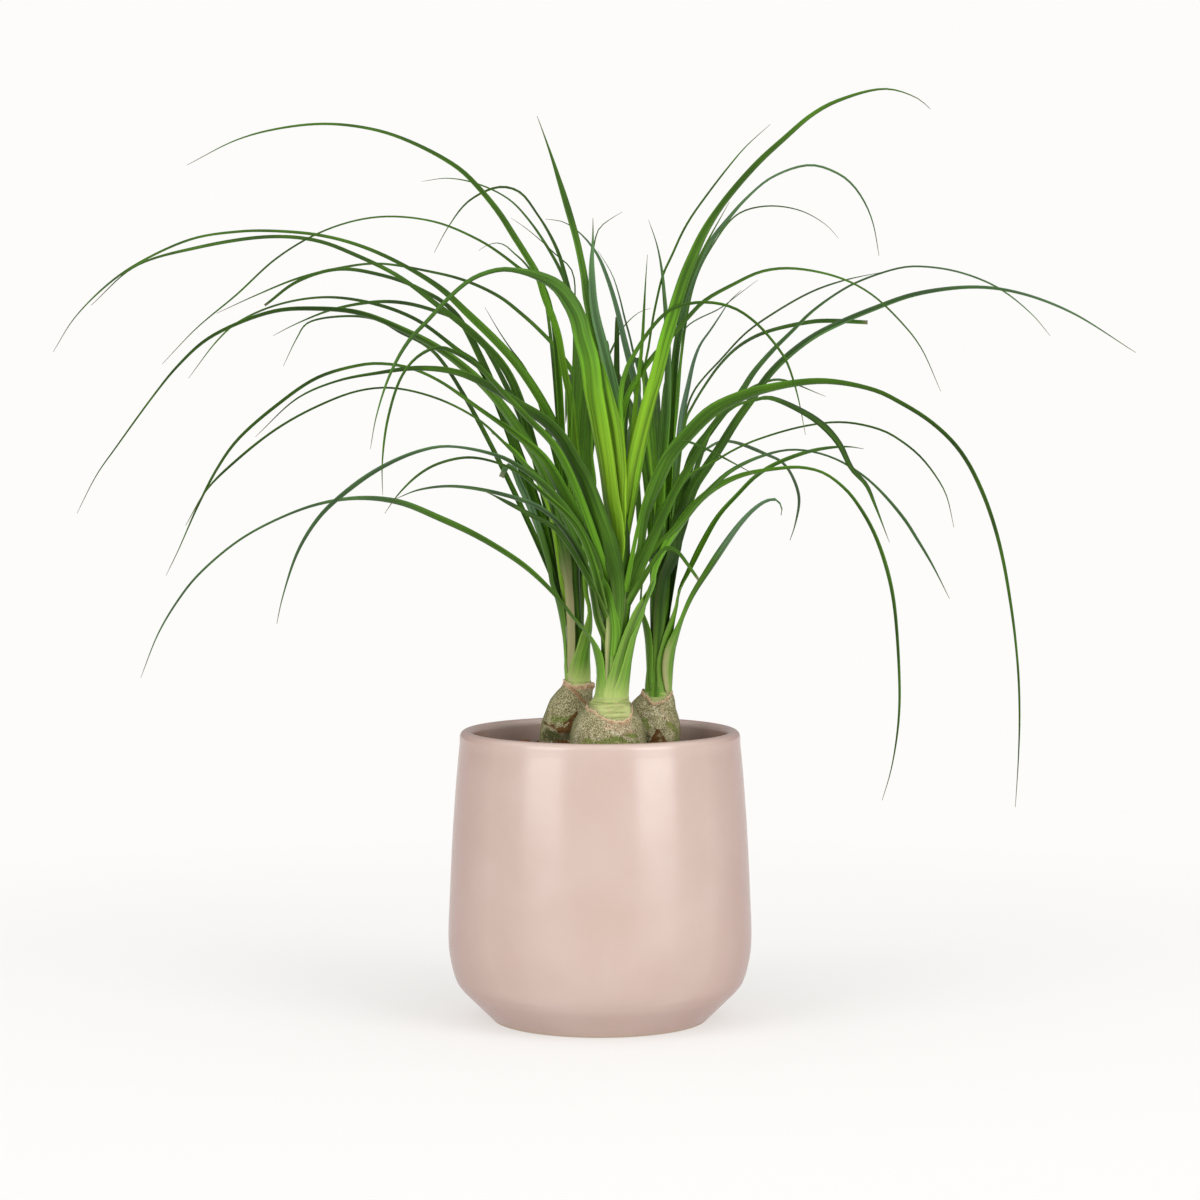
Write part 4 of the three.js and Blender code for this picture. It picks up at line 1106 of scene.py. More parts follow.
LEFT = Plant(
    name="left",
    x=-14.5,
    y=14,
    bulb=((6, 119), (11, 122.5), (14.6, 129), (15.9, 135.5), (15.9, 140.5), (15.1, 145.6), (13.9, 149.6),
        (12.4, 153.7), (11.1, 157.2), (10.1, 160.2), (9.1, 163), (8, 165), (6.9, 166.8), (6.5, 168.3)),
    column=((168.3, -11.1, 6.4), (178.9, -11.6, 6.3), (188.9, -11.8, 6.7), (199, -13, 7.1),
        (209.1, -14.1, 7.9), (221.2, -14.9, 8.7), (237.4, -15.1, 8.1), (257.5, -15.5, 3.4)),
    roots=(184, 228),
    husk=((-180, 166.8, 2.6, 0.6), (-90, 167.4, 3.2, 0.3), (-60, 167.4, 2.6, 0), (-20, 165.5, 2.4, 0),
        (15, 165.7, 2.4, 0), (45, 166.1, 2.8, 0.4), (90, 165.1, 3.2, 1.2), (150, 166.4, 2.6, 0.8),
        (180, 166.8, 2.6, 0.6)),
    fresh_from=((-180, 167.4), (-20, 166.5), (60, 166.6), (180, 167.4)),
    marks=(
        Mark(RIDGE, 2.2, ((-14, 165.5), (-11.2, 162.2), (-9, 159.2), (-6, 157.2), (-3, 155)),
            raised=0.6),
        Mark(TAN, 3, ((-10, 165), (-4, 165.4))),
        Mark(MOSS, 4.5, ((-24, 150), (-18, 149.5), (-12, 151))),
        # Painted shade below the V of the scar line.
        Mark(PAINTED_SHADE, 9, ((-27, 142), (-21, 141), (-15, 142.5))),
        Mark(RAG, 1.8, ((-28, 148), (-23, 146.3), (-20.2, 143.8), (-17.5, 148), (-11.5, 153.5)),
            0.3),
        Mark(RAG, 4, ((-17, 145), (-13, 150), (-10, 152)), 0.3),
        Mark(RAG, 5, ((-22, 138), (-17, 138.5), (-10, 140))),
        Mark(MOSS, 4, ((-29, 141), (-25, 142.5), (-21, 141.5))),
        Mark(MOSS, 6, ((-24, 138), (-8, 137)), behind=True),
        Mark(RAG, 3, ((-22, 146), (-14, 143), (-8, 147)), 0.3, behind=True),
    ),
    leaves=LEFT_LEAVES,
    far_leaves=(FarLeaf(7, 88, 200, 318, 262), FarLeaf(7, 84, 195, 300, 215), FarLeaf(6, 80, 185, 326, 290),
        FarLeaf(6, 92, 150, 322, 296), FarLeaf(6, 80, 110, 332, 322)),
)

RIGHT_LEAVES = (
    Leaf((4, 4, 3.8, 3.8, 3.6, 3.2, 2.7, 2.2, 1.7, 1.3, 0.8), -60, 0.9, ((46, 211), (54, 224), (62, 236.5),
        (70, 247.6), (77, 255), (83, 259), (87.5, 259.6), (90.2, 256), (90, 252)), blade=7, bluish=0.7,
        beige=0.8, pale=0.2, dry_to=30, wrap=((162, 33.6, 36), (165, 32.6, 36.2), (170, 31.3, 36),
        (175, 30.8, 36.2), (180, 31, 36.8), (185, 32, 37.5), (190, 33.8, 38.8), (195, 35.4, 40.2),
        (201, 37.6, 42))),
    Leaf((3.6, 4, 3.6, 2.8, 2.2, 2, 2.1, 2.2, 1.9, 1.5, 0.5), 60, 0.75, ((39.6, 214), (44.6, 224),
        (51.4, 238), (59.6, 252), (68.6, 262), (77, 270.6), (86, 276.6), (105, 283.8), (122, 286),
        (131, 285)), blade=6, pale=0.1, wrap=((158.6, 27.6, 33), (162, 28.4, 34.6), (166, 28.7, 34.6),
        (170, 28.3, 34), (175, 28, 33.6), (180, 28.2, 34), (190, 31, 35.8), (196, 32.5, 37),
        (205, 34.4, 38.6))),
    Leaf((3, 3, 3, 2.6, 2, 1), 30, 0.9, ((20.6, 218), (20.4, 234), (19.5, 250), (18, 275), (15, 300),
        (12, 320)), 4, pale=0, wrap=((160, 21.5, 26.5), (163, 22.2, 27), (166, 22.9, 26.6), (170, 23, 26),
        (175, 22.8, 25.9), (180, 22.7, 26.1), (185, 22.4, 26.2), (190, 21.8, 25.6), (195, 21.1, 25),
        (200, 20.4, 24.2), (207, 20, 23.3))),
    Leaf((7, 5.6, 4.6, 3.8, 3.3, 2.8, 2.4, 1.7, 1.3, 1.1, 0.5), 4, 1, ((38, 241), (41, 254), (46, 267),
        (52, 276), (59, 286.6), (67, 299.5), (75, 310.5), (83, 322), (93, 332), (106, 341.6), (120, 348.6),
        (134, 354.4), (156, 362), (185, 365.4), (207, 362.6), (233, 353), (265.6, 332.7)), blade=9,
        bluish=0.3, pale=0, wrap=((157, 23.6, 30), (160, 24, 30), (170, 25, 30.5), (180, 25.5, 31),
        (190, 25.5, 31.8), (200, 26, 33), (210, 26.8, 33.4), (220, 28.5, 35.4), (231, 32, 38.6))),
    Leaf((6, 6, 6, 4, 3.2, 2, 1.1, 0.9, 0.9, 1, 0.4), 70, 0.95, ((46, 280), (54, 292), (62, 302.6),
        (70, 312), (76.6, 322.5), (86, 333.6), (96, 343.6), (105, 352.6), (120, 363.4), (131, 368.8),
        (149, 374.4), (159, 375), (177, 372.4), (197, 364.5), (214, 351.4), (223, 341)), blade=8, bluish=0.3),
    Leaf((5, 4, 2.6, 1.9, 1.4, 1.2, 1.3, 1.8, 2.2, 2.4, 2.2), 120, 0.8, ((42, 298), (46, 307), (53, 318.4),
        (59, 326.6), (67, 334.8), (76, 340.6), (86, 344.3), (105, 348), (115, 348.4), (132.5, 347.6)),
        blade=6, cut=True),
    Leaf((3, 2.6, 2, 1.2, 1.1, 0.9, 0.9, 1, 1, 1, 0.4), 130, 0.85, ((42, 301), (46, 313), (51, 320),
        (59, 328.6), (72, 342.4), (86, 352.4), (105, 363), (121, 368.5), (140, 372.5)), blade=4),
    Leaf((4, 3.6, 3.2, 2, 1.2, 1.4, 2, 1.4, 1.7, 1.6, 0.8), 170, 0.8, ((40, 270), (58, 288.3), (66, 288.8),
        (83, 282.4), (90, 279), (94.6, 273.6), (99, 261), (97, 247), (94.5, 239.6)), blade=5, bluish=0.3),
    Leaf((3, 3, 3, 2.4, 1.8, 1.3, 0.4), 150, 0.9, ((55, 295), (70, 312), (83, 318.6), (90, 319.3),
        (112, 311)), 4),
    Leaf((5, 5, 4.6, 4.2, 3.6, 3, 2.1, 1.1, 0.8, 0.4), 120, 0.8, ((39, 290), (40.5, 303), (43, 315),
        (46, 328), (49.4, 336.6), (54.6, 344), (60, 352), (64, 358), (70, 363.6)), blade=7, bluish=0.8),
    Leaf((2, 2, 1.6, 1, 0.7, 0.6, 0.3), 90, 0.8, ((36, 320), (41.5, 344), (60, 355), (68, 361), (78, 368.5)),
        3, bluish=0.3),
    Leaf((4, 4, 4, 4, 3.8, 3.2, 2.2, 1.1, 1.1, 1.1, 0.5), 6, 0.6, ((38, 330), (41.2, 350), (43.4, 360),
        (47, 370), (51.4, 380), (57, 390), (63, 397.6), (72, 408), (85, 418.8), (104, 424.8), (118, 420.4),
        (124.8, 415), (131, 406), (135, 396), (138, 380.5)), bluish=0.4),
    Leaf((2, 2, 1.8, 1.6, 1.4, 1, 0.8, 0.7, 0.3), 110, 0.8, ((45, 362), (57, 388), (68, 401), (82, 405),
        (99, 402.8), (112, 395.5), (118, 389)), blade=3),
    Leaf((3, 3, 2.6, 2, 1.2, 1.1, 1.1, 1.1, 1, 0.9, 0.4), -6, 0.45, ((22, 320), (24.4, 336), (26.4, 349),
        (28.4, 359), (31.4, 371), (36, 381), (40.5, 391), (45, 399), (53.5, 411), (63.5, 424), (72, 434),
        (84, 445)), blade=4),
    Leaf((5, 5, 4.6, 4.4, 4, 3, 2.2, 1.2, 0.4), -4, 0.6, ((30, 270), (32.5, 300), (33.4, 330), (32.4, 350),
        (31.4, 362), (30.4, 373), (28, 386), (24, 398)), blade=7, bluish=0.3),
    Leaf((3, 3, 2.6, 2, 1.6, 1.3, 1, 0.4), 20, 0.75, ((36, 288), (38, 305), (40, 330), (41, 350)), blade=4),
    Leaf((7, 7, 6, 5, 4, 2, 0.8), 12, 0.7, ((31, 260), (32, 300), (34, 342)), blade=8),
)

RIGHT = Plant(
    name="right",
    x=26,
    y=12,
    bulb=((6, 119), (10.4, 122.5), (13.4, 129), (14.4, 135.7), (14.6, 140.7), (14.2, 146.3), (13.3, 150.8),
        (12.2, 154.1), (10.9, 157.2), (9.5, 159.7), (8.1, 161.7), (7, 163.2), (6.5, 164.4)),
    column=((164.4, 28.8, 6.4), (173, 29.2, 6.3), (189.1, 29.5, 7.5), (205.2, 29.8, 8.7), (219.3, 30.2, 9.1),
        (237.5, 30.4, 9.1), (257.6, 30.6, 5)),
    roots=(180, 226),
    husk=((-180, 162.9, 2, 0.4), (-90, 163.1, 2, 0.4), (-55, 162.2, 1.8, 0.2), (-25, 160.2, 1.4, 0),
        (-2, 157.7, 1.3, 0), (16, 158.3, 1.3, 0), (58, 162.1, 1.4, 0), (90, 162.9, 1.8, 0.3),
        (180, 162.9, 2, 0.4)),
    fresh_from=((-180, 162.9), (-90, 162.9), (-55, 162.2), (-25, 160.2), (-2, 157.7), (16, 158.5),
        (58, 162.1), (180, 162.9)),
    marks=(
        Mark(RIDGE, 1.4, ((20.5, 163), (18, 160.5), (16, 158)), raised=0.4),
        Mark(SCRAPE, 2.6, ((26.8, 156), (29, 154), (31.2, 151.6))),
        Mark(TAN, 1.6, ((30.8, 155.6), (32, 152), (34.6, 148.8)), 0.2),
        Mark(RAG, 3, ((25, 138), (29, 144.6), (32.6, 138)), 0.3),
        Mark(RAG, 6.5, ((28.5, 140), (29, 136)), 0.3),
        # Painted shade: a dark patch low on the bulb.
        Mark(PAINTED_SHADE, 5, ((23, 141), (24, 137))),
        Mark(MOSS, 4, ((34, 148), (38, 144), (38, 139))),
        Mark(MOSS, 4, ((22, 150), (24, 146))),
        Mark(MOSS, 7, ((18, 137), (34, 136)), behind=True),
        Mark(SCRAPE, 2.5, ((22, 154), (30, 152)), behind=True),
    ),
    leaves=RIGHT_LEAVES,
    far_leaves=(FarLeaf(7, 90, 200, 314, 258), FarLeaf(7, 96, 195, 296, 212), FarLeaf(6, 100, 185, 312, 286),
        FarLeaf(6, 86, 150, 318, 290), FarLeaf(6, 99, 110, 330, 320)),
)

PLANTS = (FRONT, LEFT, RIGHT)


@dataclass
class Caudex:
    """A plant's swollen base: a corky bulb with scars, cracks and stains."""

    plant: Plant
    sectors: int = 144
    step: float = 0.55
    lump: float = 0.45
    lumps_per_mm: float = 0.12
    grain: float = 0.12
    grains_per_mm: float = 0.9
    wrinkle: float = 0.16
    wrinkle_turn: float = 2.4
    wrinkle_sway: float = 0.4
    fresh: float = 0.85
    sheathed: float = 0.35

    def place_of(self, mark: Mark) -> list[Pair]:
        """The angle and height of each point of a mark."""
        places = []
        for x, height in mark.route:
            across = (x - self.plant.axis(height)) / self.plant.bulb_radius(height)
            angle = math.degrees(math.asin(max(-0.99, min(0.99, across))))
            places.append((180 - angle if mark.behind else angle, height))
        return places

    @staticmethod
    def nearness(angle: float, height: float, radius: float, route: Sequence[Pair], width: float) -> float:
        """How much of a mark there is at a place on the bark.

        Args:
            angle: The place's angle from the front, in degrees.
            height: Its height.
            radius: The bulb's radius there.
            route: The mark's angles and heights.
            width: The mark's width.

        Returns:
            1 on the mark's line, falling to 0 at its edge.
        """
        nearest = width
        for (a0, z0), (a1, z1) in zip(route, route[1:]):
            across = [((a - angle + 180) % 360 - 180) * math.radians(1) * radius for a in (a0, a1)]
            start = Vector((across[0], z0 - height))
            along = Vector((across[1], z1 - height)) - start
            share = max(0.0, min(1.0, -start.dot(along) / max(along.length_squared, 1e-9)))
            nearest = min(nearest, (start + along * share).length)
        return ease(width / 2, width / 5, nearest) if nearest < width / 2 else 0.0

    def tints(self, angle: float, height: float) -> dict[str, float]:
        """How fresh the skin is, and how green from the sheaths, at a place."""
        start = table_value(self.plant.fresh_from, angle, 1)
        top = ease(self.plant.neck - 8, self.plant.neck - 2, height)
        return {
            "fresh": self.fresh * ease(start - 0.3, start + 2, height),
            "sheath": self.sheathed * top * ease(start, start + 3, height),
        }

    def relief(self, angle: float, radius: float, height: float, fresh: float) -> float:
        """How far the skin stands up at a place: lumps and grain, or wrinkles where it is fresh."""
        spot = self.plant.side(angle, radius, height)
        raised = self.lump * noise.noise(spot * self.lumps_per_mm) * (1 - fresh)
        raised += self.grain * noise.noise(spot * self.grains_per_mm) * (1 - fresh)
        sway = self.wrinkle_sway * math.sin(math.radians(angle))
        return raised + self.wrinkle * fresh * math.sin(height * self.wrinkle_turn + sway)

    def build(self, finish: Material) -> Object:
        """Makes the bulb.

        Args:
            finish: The bark.

        Returns:
            The bulb.
        """
        plant = self.plant
        routes = [(mark, self.place_of(mark)) for mark in plant.marks]
        draft = Draft()
        rings = []
        for radius, height in smooth_outline(plant.bulb, self.step):
            ring = []
            for k in range(self.sectors):
                angle = 360 * k / self.sectors
                signed = (angle + 180) % 360 - 180
                tints = self.tints(signed, height)
                raised = 0.0
                for mark, route in routes:
                    near = self.nearness(signed, height, radius, route, mark.width)
                    tints[mark.kind.value] = max(near, tints.get(mark.kind.value, 0.0))
                    raised += mark.raised * near
                grown = radius + self.relief(angle, radius, height, tints["fresh"]) + raised
                ring.append(draft.add(plant.side(angle, grown, height), **tints))
            rings.append(ring)
        draft.skin(rings)
        return draft.finish(f"corky_base_{plant.name}", finish, f"caudex_{plant.name}", "corky_bark")


@dataclass
class Husk:
    """The dried leaf bases that ring a plant's neck: a thin torn band that hugs the bulb."""

    plant: Plant
    sectors: int = 240
    rows: int = 6
    gap: float = 0.1
    thickness: float = 0.4
    thinned: float = 0.6
    ragged: float = 0.6
    curl: float = 0.35
    wave: float = 0.22
    tear_pace: float = 6

    def edges(self, angle: float, turn: Vector) -> Pair:
        """The heights of the band's lower and upper torn edge at an angle."""
        middle, breadth = [table_value(self.plant.husk, angle, column) for column in (1, 2)]
        torn = self.ragged * (noise.noise(turn * 1.1) + 0.7 * noise.noise(turn * 3.1 + Vector((5, 1, 9))))
        frayed = self.ragged * noise.noise(turn * 1.4 + Vector((9, 2, 3)))
        return middle - breadth / 2 + frayed * min(1.0, breadth / 2), middle + breadth / 2 + torn

    def build(self, finish: Material) -> Object:
        """Makes the band.

        Args:
            finish: The dry husk.

        Returns:
            The band.
        """
        plant = self.plant
        draft = Draft()
        rings = []
        for k in range(self.sectors):
            angle = -180 + 360 * k / self.sectors
            turn = Vector((math.cos(math.radians(angle)), math.sin(math.radians(angle)), 0)) * self.tear_pace
            low, high = self.edges(angle, turn)
            spread = table_value(plant.husk, angle, 3)
            outer, inner = [], []
            for row in range(self.rows + 1):
                share = row / self.rows
                height = blend(low, high, share)
                wave = self.wave * noise.noise(Vector((turn.x, turn.y, height * 0.9)))
                base = plant.bulb_radius(height) + self.gap + spread * ease(0, 1, share)
                lift = self.curl * share**3 + wave
                thick = self.thickness * (1 - self.thinned * abs(2 * share - 1))
                torn = ease(0.7, 1, share) + 0.6 * ease(0.2, 0, share)
                outer.append(draft.add(plant.side(angle, base + lift + thick, height), torn=torn))
                inner.append(draft.add(plant.side(angle, base + lift, height), torn=torn))
            rings.append([*inner, *reversed(outer)])
        draft.skin([list(reversed(ring)) for ring in rings], closed=True)
        return draft.finish(f"dry_husk_{plant.name}", finish, f"husk_{plant.name}", "dry_husk")


@dataclass(frozen=True)
class Strand:
    """One leaf of a crown, laid out before its surface is made.

    Attributes:
        path: Evenly spaced points of its middle, foot first.
        parting: How long its sheath is.
        foot: How wide it is at its foot.
        rows: The rows of its seen base, if it has one.
        order: How many seen bases lie over that.
        offset: Where it lies across the flattened surface.
    """

    leaf: Leaf
    path: list[Vector]
    length: float
    parting: float
    foot: float
    across: Vector
    rows: list[Triple]
    order: int
    phase: float
    bright: float
    offset: float

    @property
    def blade_length(self) -> float:
        """How long it is above its sheath."""
        return max(1.0, self.length - self.parting)

    @property
    def top(self) -> float:
        """The height at which its seen base ends."""
        return self.rows[-1][0] if self.rows else 0.0

    def run(self, i: int) -> float:
        """How far along the leaf a point of its path lies."""
        return self.length * i / (len(self.path) - 1)

    def share(self, i: int) -> float:
        """How far along the blade it lies: 0 at the end of the sheath, 1 at the tip."""
        return min(1.0, max(0.0, (self.run(i) - self.parting) / self.blade_length))

    def along(self, i: int) -> Vector:
        """The leaf's direction at a point of its path."""
        ahead, behind = self.path[min(i + 1, len(self.path) - 1)], self.path[max(i - 1, 0)]
        return (ahead - behind).normalized()

    def widths(self, i: int) -> Pair:
        """The width that is seen at a point of the path, and the blade's own."""
        leaf, share = self.leaf, self.share(i)
        table = [(k / (len(leaf.widths) - 1), width) for k, width in enumerate(leaf.widths)]
        thinned = 1 if leaf.cut else blend(1, 0.5, ease(0.82, 1, share))
        shown = table_value(table, share, 1) * thinned
        return shown, max(shown, min(leaf.blade * (1 - share) ** 0.5, 1.8 * shown + 0.3))


@dataclass
class Crown:
    """A plant's fountain of leaves, with the sheaths that wrap each other into a column.

    Attributes:
        eye: Where the eye is that the leaves are read from.
        columns: Points across a blade, and across one whose base is seen.
        thinned: How much of its thickness a blade loses towards its margins, as a share.
        fold: How high the fold along its middle stands, as a share of its width.
        curl: Half the angle that the open channel of a blade turns through, in radians.
        lean: How late a leaf leans towards or away from the eye.
        settle: The length over which a blade turns from its sheath's lie to its own.
        opening: How far above its sheath a blade has opened.
        freeing: How far below and above its top a seen base comes off the column.
        darkening: The least length over which a blade gets darker.
        green_above: How far above the neck the sheaths' pale green goes, faded and full.
    """

    plant: Plant
    eye: Vector = field(default_factory=lambda: Vector((0, -1640, 313)))
    step: float = 4.0
    columns: tuple[int, int] = (7, 13)
    thickness: float = 0.42
    thinned: float = 0.65
    fold: float = 0.05
    curl: float = 0.55
    lean: float = 1.5
    settle: float = 45
    opening: float = 12
    freeing: Pair = (14, 2)
    sheath_reach: float = 50
    sheath_step: float = 9
    twist: float = 0.2
    darkening: float = 250
    most_beige: float = 0.62
    green_above: Pair = (55, 8)
    core_share: float = 0.55
    draft: Draft = field(default_factory=Draft)

    def in_depth(self, spot: Pair, depth: float) -> Vector:
        """A point of the plane y = 0 moved along the line of sight to another depth."""
        scale = (depth - self.eye.y) / -self.eye.y
        return Vector((spot[0] * scale, depth, self.eye.z + (spot[1] - self.eye.z) * scale))

    @staticmethod
    def layer(age: float) -> float:
        """How far out in the column a sheath lies, as a share of the column's radius."""
        return blend(0.86, 0.3, age**0.6)

    def rows(self, leaf: Leaf) -> list[Triple]:
        """The rows of a leaf's seen base, moved from the plane y = 0 to the front of the column."""
        moved = []
        for height, left, right in leaf.wrap:
            depth = self.plant.y - 0.8 * self.plant.skin_radius(height)
            start, end = self.in_depth((left, height), depth), self.in_depth((right, height), depth)
            moved.append((start.z, start.x, end.x))
        return moved

    @staticmethod
    def edge_angle(share: float) -> float:
        """The angle of a margin from the front; one at the outline goes on round the column."""
        outline = 0.85
        seen = math.asin(min(outline, abs(share)))
        return math.copysign(seen + 6 * max(0.0, min(1.0, abs(share)) - outline), share)

    def hug(self, rows: Sequence[Triple], height: float, order: int) -> Triple:
        """How a seen base lies at a height.

        Args:
            rows: Its rows.
            height: The height.
            order: How many bases lie over it.

        Returns:
            Its radius from the column's middle and the angles of its left and right margin.
        """
        plant = self.plant
        left, right = table_value(rows, height, 1), table_value(rows, height, 2)
        lift = blend(0.4 - 0.07 * order, 0.2 - 0.45 * order, ease(plant.neck - 2, plant.neck + 12, height))
        lift = blend(-0.3, lift, ease(rows[0][0] + 1, rows[0][0] + 11, height))
        middle = plant.axis(height)
        reach = max(plant.skin_radius(height), right - middle, middle - left)
        angles = [self.edge_angle((edge - middle) / reach) for edge in (left, right)]
        return reach + lift, angles[0], angles[1]

    def on_column(self, radius: float, turn: float, height: float) -> Vector:
        """The point at a radius, an angle in radians from the front and a height."""
        return self.plant.side(math.degrees(turn), radius, height)

    def root(self, age: float, heading: Vector) -> Vector:
        """Where a leaf parts from the column, on the side that it leans to."""
        height = blend(*self.plant.roots, age)
        out = self.plant.column_radius(height) * self.layer(age) * 0.85
        return Vector((self.plant.axis(height) + out * heading.x, self.plant.y + out * heading.y, height))

    def sheath(self, age: float, heading: Vector, root: Vector) -> list[Vector]:
        """The points of a sheath's middle, from its foot up to where the leaf parts."""
        start = max(self.plant.neck - 1, root.z - self.sheath_reach)
        spots = []
        count = max(2, round((root.z - start) / self.sheath_step))
        for i in range(count):
            height = blend(start, root.z, i / count)
            radius = self.plant.column_radius(height) * self.layer(age)
            middle = Vector((self.plant.axis(height), self.plant.y, height))
            spots.append(middle + heading * radius)
        return spots

    def seen_route(self, leaf: Leaf, age: float) -> tuple[Vector, list[Vector]]:
        """The heading of a leaf and the points that its middle passes through."""
        rows = self.rows(leaf)
        if rows:
            hugs = [(height, *self.hug(rows, height, 0)) for height, _, _ in rows]
            foot = [self.on_column(radius, (start + end) / 2, height) for height, radius, start, end in hugs]
            root = foot.pop()
            turn = (hugs[-1][2] + hugs[-1][3]) / 2
            heading = Vector((math.sin(turn), -math.cos(turn), 0))
            route = list(leaf.route)
        else:
            tip = self.in_depth(leaf.route[-1], self.plant.y + leaf.depth)
            heading = Vector((tip.x - self.plant.x, tip.y - self.plant.y, 0)).normalized()
            root = self.root(age, heading)
            foot = self.sheath(age, heading, root)
            route = [place for place in leaf.route if place[1] > root.z + 6 or place is leaf.route[-1]]
        places = [(root.x, root.z), *route]
        lengths = [0.0]
        for here, there in zip(places, places[1:]):
            lengths.append(lengths[-1] + math.dist(here, there))
        spots = []
        for place, length in zip(route, lengths[1:]):
            lean = (length / lengths[-1]) ** self.lean
            spots.append(self.in_depth(place, root.y + (self.plant.y + leaf.depth - root.y) * lean))
        return heading, [*foot, root, *spots]

    def far_route(self, leaf: FarLeaf, age: float) -> tuple[Vector, list[Vector]]:
        """The same for a leaf that is given by its direction: up, over its crest and down."""
        turn = math.radians(leaf.azimuth)
        heading = Vector((math.cos(turn), math.sin(turn), 0))
        root = self.root(age, heading)
        rise = leaf.crest - root.z
        spots = [
            root + heading * (leaf.reach * share) + Vector((0, 0, height - root.z))
            for share, height in (
                (0.08, root.z + 0.42 * rise),
                (0.25, root.z + 0.8 * rise),
                (0.52, leaf.crest),
                (0.8, leaf.crest - 0.36 * (leaf.crest - leaf.tip)),
                (1, leaf.tip),
            )
        ]
        return heading, [*self.sheath(age, heading, root), root, *spots]

    def laid_out(
        self, leaf: Leaf, age: float, heading: Vector, spots: list[Vector], seed: int, order: int = 0
    ) -> Strand:
        """Works out what the whole of a leaf has in common.

        Args:
            leaf: Its sizes and colours.
            age: 0 for the plant's outermost leaf, 1 for its innermost.
            heading: The direction that it leans to.
            spots: The points that its middle passes through, foot first.
            seed: What its small differences are drawn from.
            order: How many seen bases lie over its own.

        Returns:
            The leaf's strand.
        """
        random = Random(seed)
        phase, tone = random.uniform(0, math.tau), random.uniform(-0.08, 0.08)
        path = curve_through(spots, self.step)
        rows = self.rows(leaf)
        top = rows[-1][0] if rows else self.root(age, heading).z
        clasping = 2 * leaf.clasp * self.plant.column_radius(spots[0].z) * self.layer(age)
        return Strand(
            leaf=leaf,
            path=path,
            length=self.step * (len(path) - 1),
            parting=max(self.step, top - spots[0].z),
            foot=leaf.widths[0] if rows else clasping,
            across=Vector((-heading.y, heading.x, 0)),
            rows=rows,
            order=order,
            phase=phase,
            bright=1 - leaf.tone + tone,
            offset=40.0 * seed,
        )

    def lie(self, place: Vector, along: Vector, showing: float, inner: bool) -> Vector:
        """Which way a blade's width lies so that it shows a share of it to the eye.

        Args:
            place: The place on the blade.
            along: The blade's direction.
            showing: The share of its width that is seen.
            inner: Whether its upper, inner side is the one that is seen.

        Returns:
            The direction across the blade.
        """
        sight = self.eye - place
        edge = (sight - along * along.dot(sight)).normalized()
        open_side = along.cross(edge)
        turn = math.asin(min(1.0, showing))
        return edge * math.cos(turn) + open_side * (math.sin(turn) * (-1 if inner else 1))

    def sides(self, strand: Strand, seen: bool) -> list[Vector]:
        """The direction across a leaf at each point of its path.

        A seen leaf turns from its sheath's lie to the one that its seen widths ask for, with the
        side towards the eye that fits its sheath. A far leaf only twists a little.

        Args:
            strand: The leaf.
            seen: Whether the camera sees it.

        Returns:
            The directions.
        """
        inner, sign = strand.leaf.depth >= 0, 1
        sides = []
        for i, place in enumerate(strand.path):
            along = strand.along(i)
            side = (strand.across - along * strand.across.dot(along)).normalized()
            if seen:
                shown, grown = strand.widths(i)
                if i == 0 and self.lie(place, along, shown / grown, inner).dot(side) < 0:
                    inner = not inner
                    sign = 1 if self.lie(place, along, shown / grown, inner).dot(side) >= 0 else -1
                lie = self.lie(place, along, shown / grown, inner) * sign
                settled = ease(-0.2 * self.settle, self.settle, strand.run(i) - strand.parting)
                side = side.lerp(lie, settled).normalized()
            else:
                turn = self.twist * math.sin(strand.phase + 5 * strand.share(i))
                side = Matrix.Rotation(turn, 3, along) @ side
            sides.append(side)
        return sides

    def tints(self, strand: Strand, i: int) -> dict[str, float]:
        """The tints that a leaf has all the way across at a point of its path."""
        leaf, run, share = strand.leaf, strand.run(i), strand.share(i)
        above = run + strand.path[0].z - self.plant.neck
        aged = max(0.0, run - strand.parting) / max(strand.blade_length, self.darkening)
        return {
            "bright": strand.bright * blend(1.1, 0.12, ease(0.2, 0.55, aged)),
            # Bluish grey-green towards the tip: partly the leaf's own bloom, partly painted sky sheen.
            "bluish": leaf.bluish * ease(0.3, 0.5, share),
            "sheath": ease(*self.green_above, above),
            "blanched": max(leaf.pale * ease(13, -2, above), min(0.9, 2 * leaf.pale) * ease(4, 0, run)),
            "dried": 0.9 * ease(0.985, 1.0, share) if leaf.cut else ease(0.94, 1.0, share),
        }

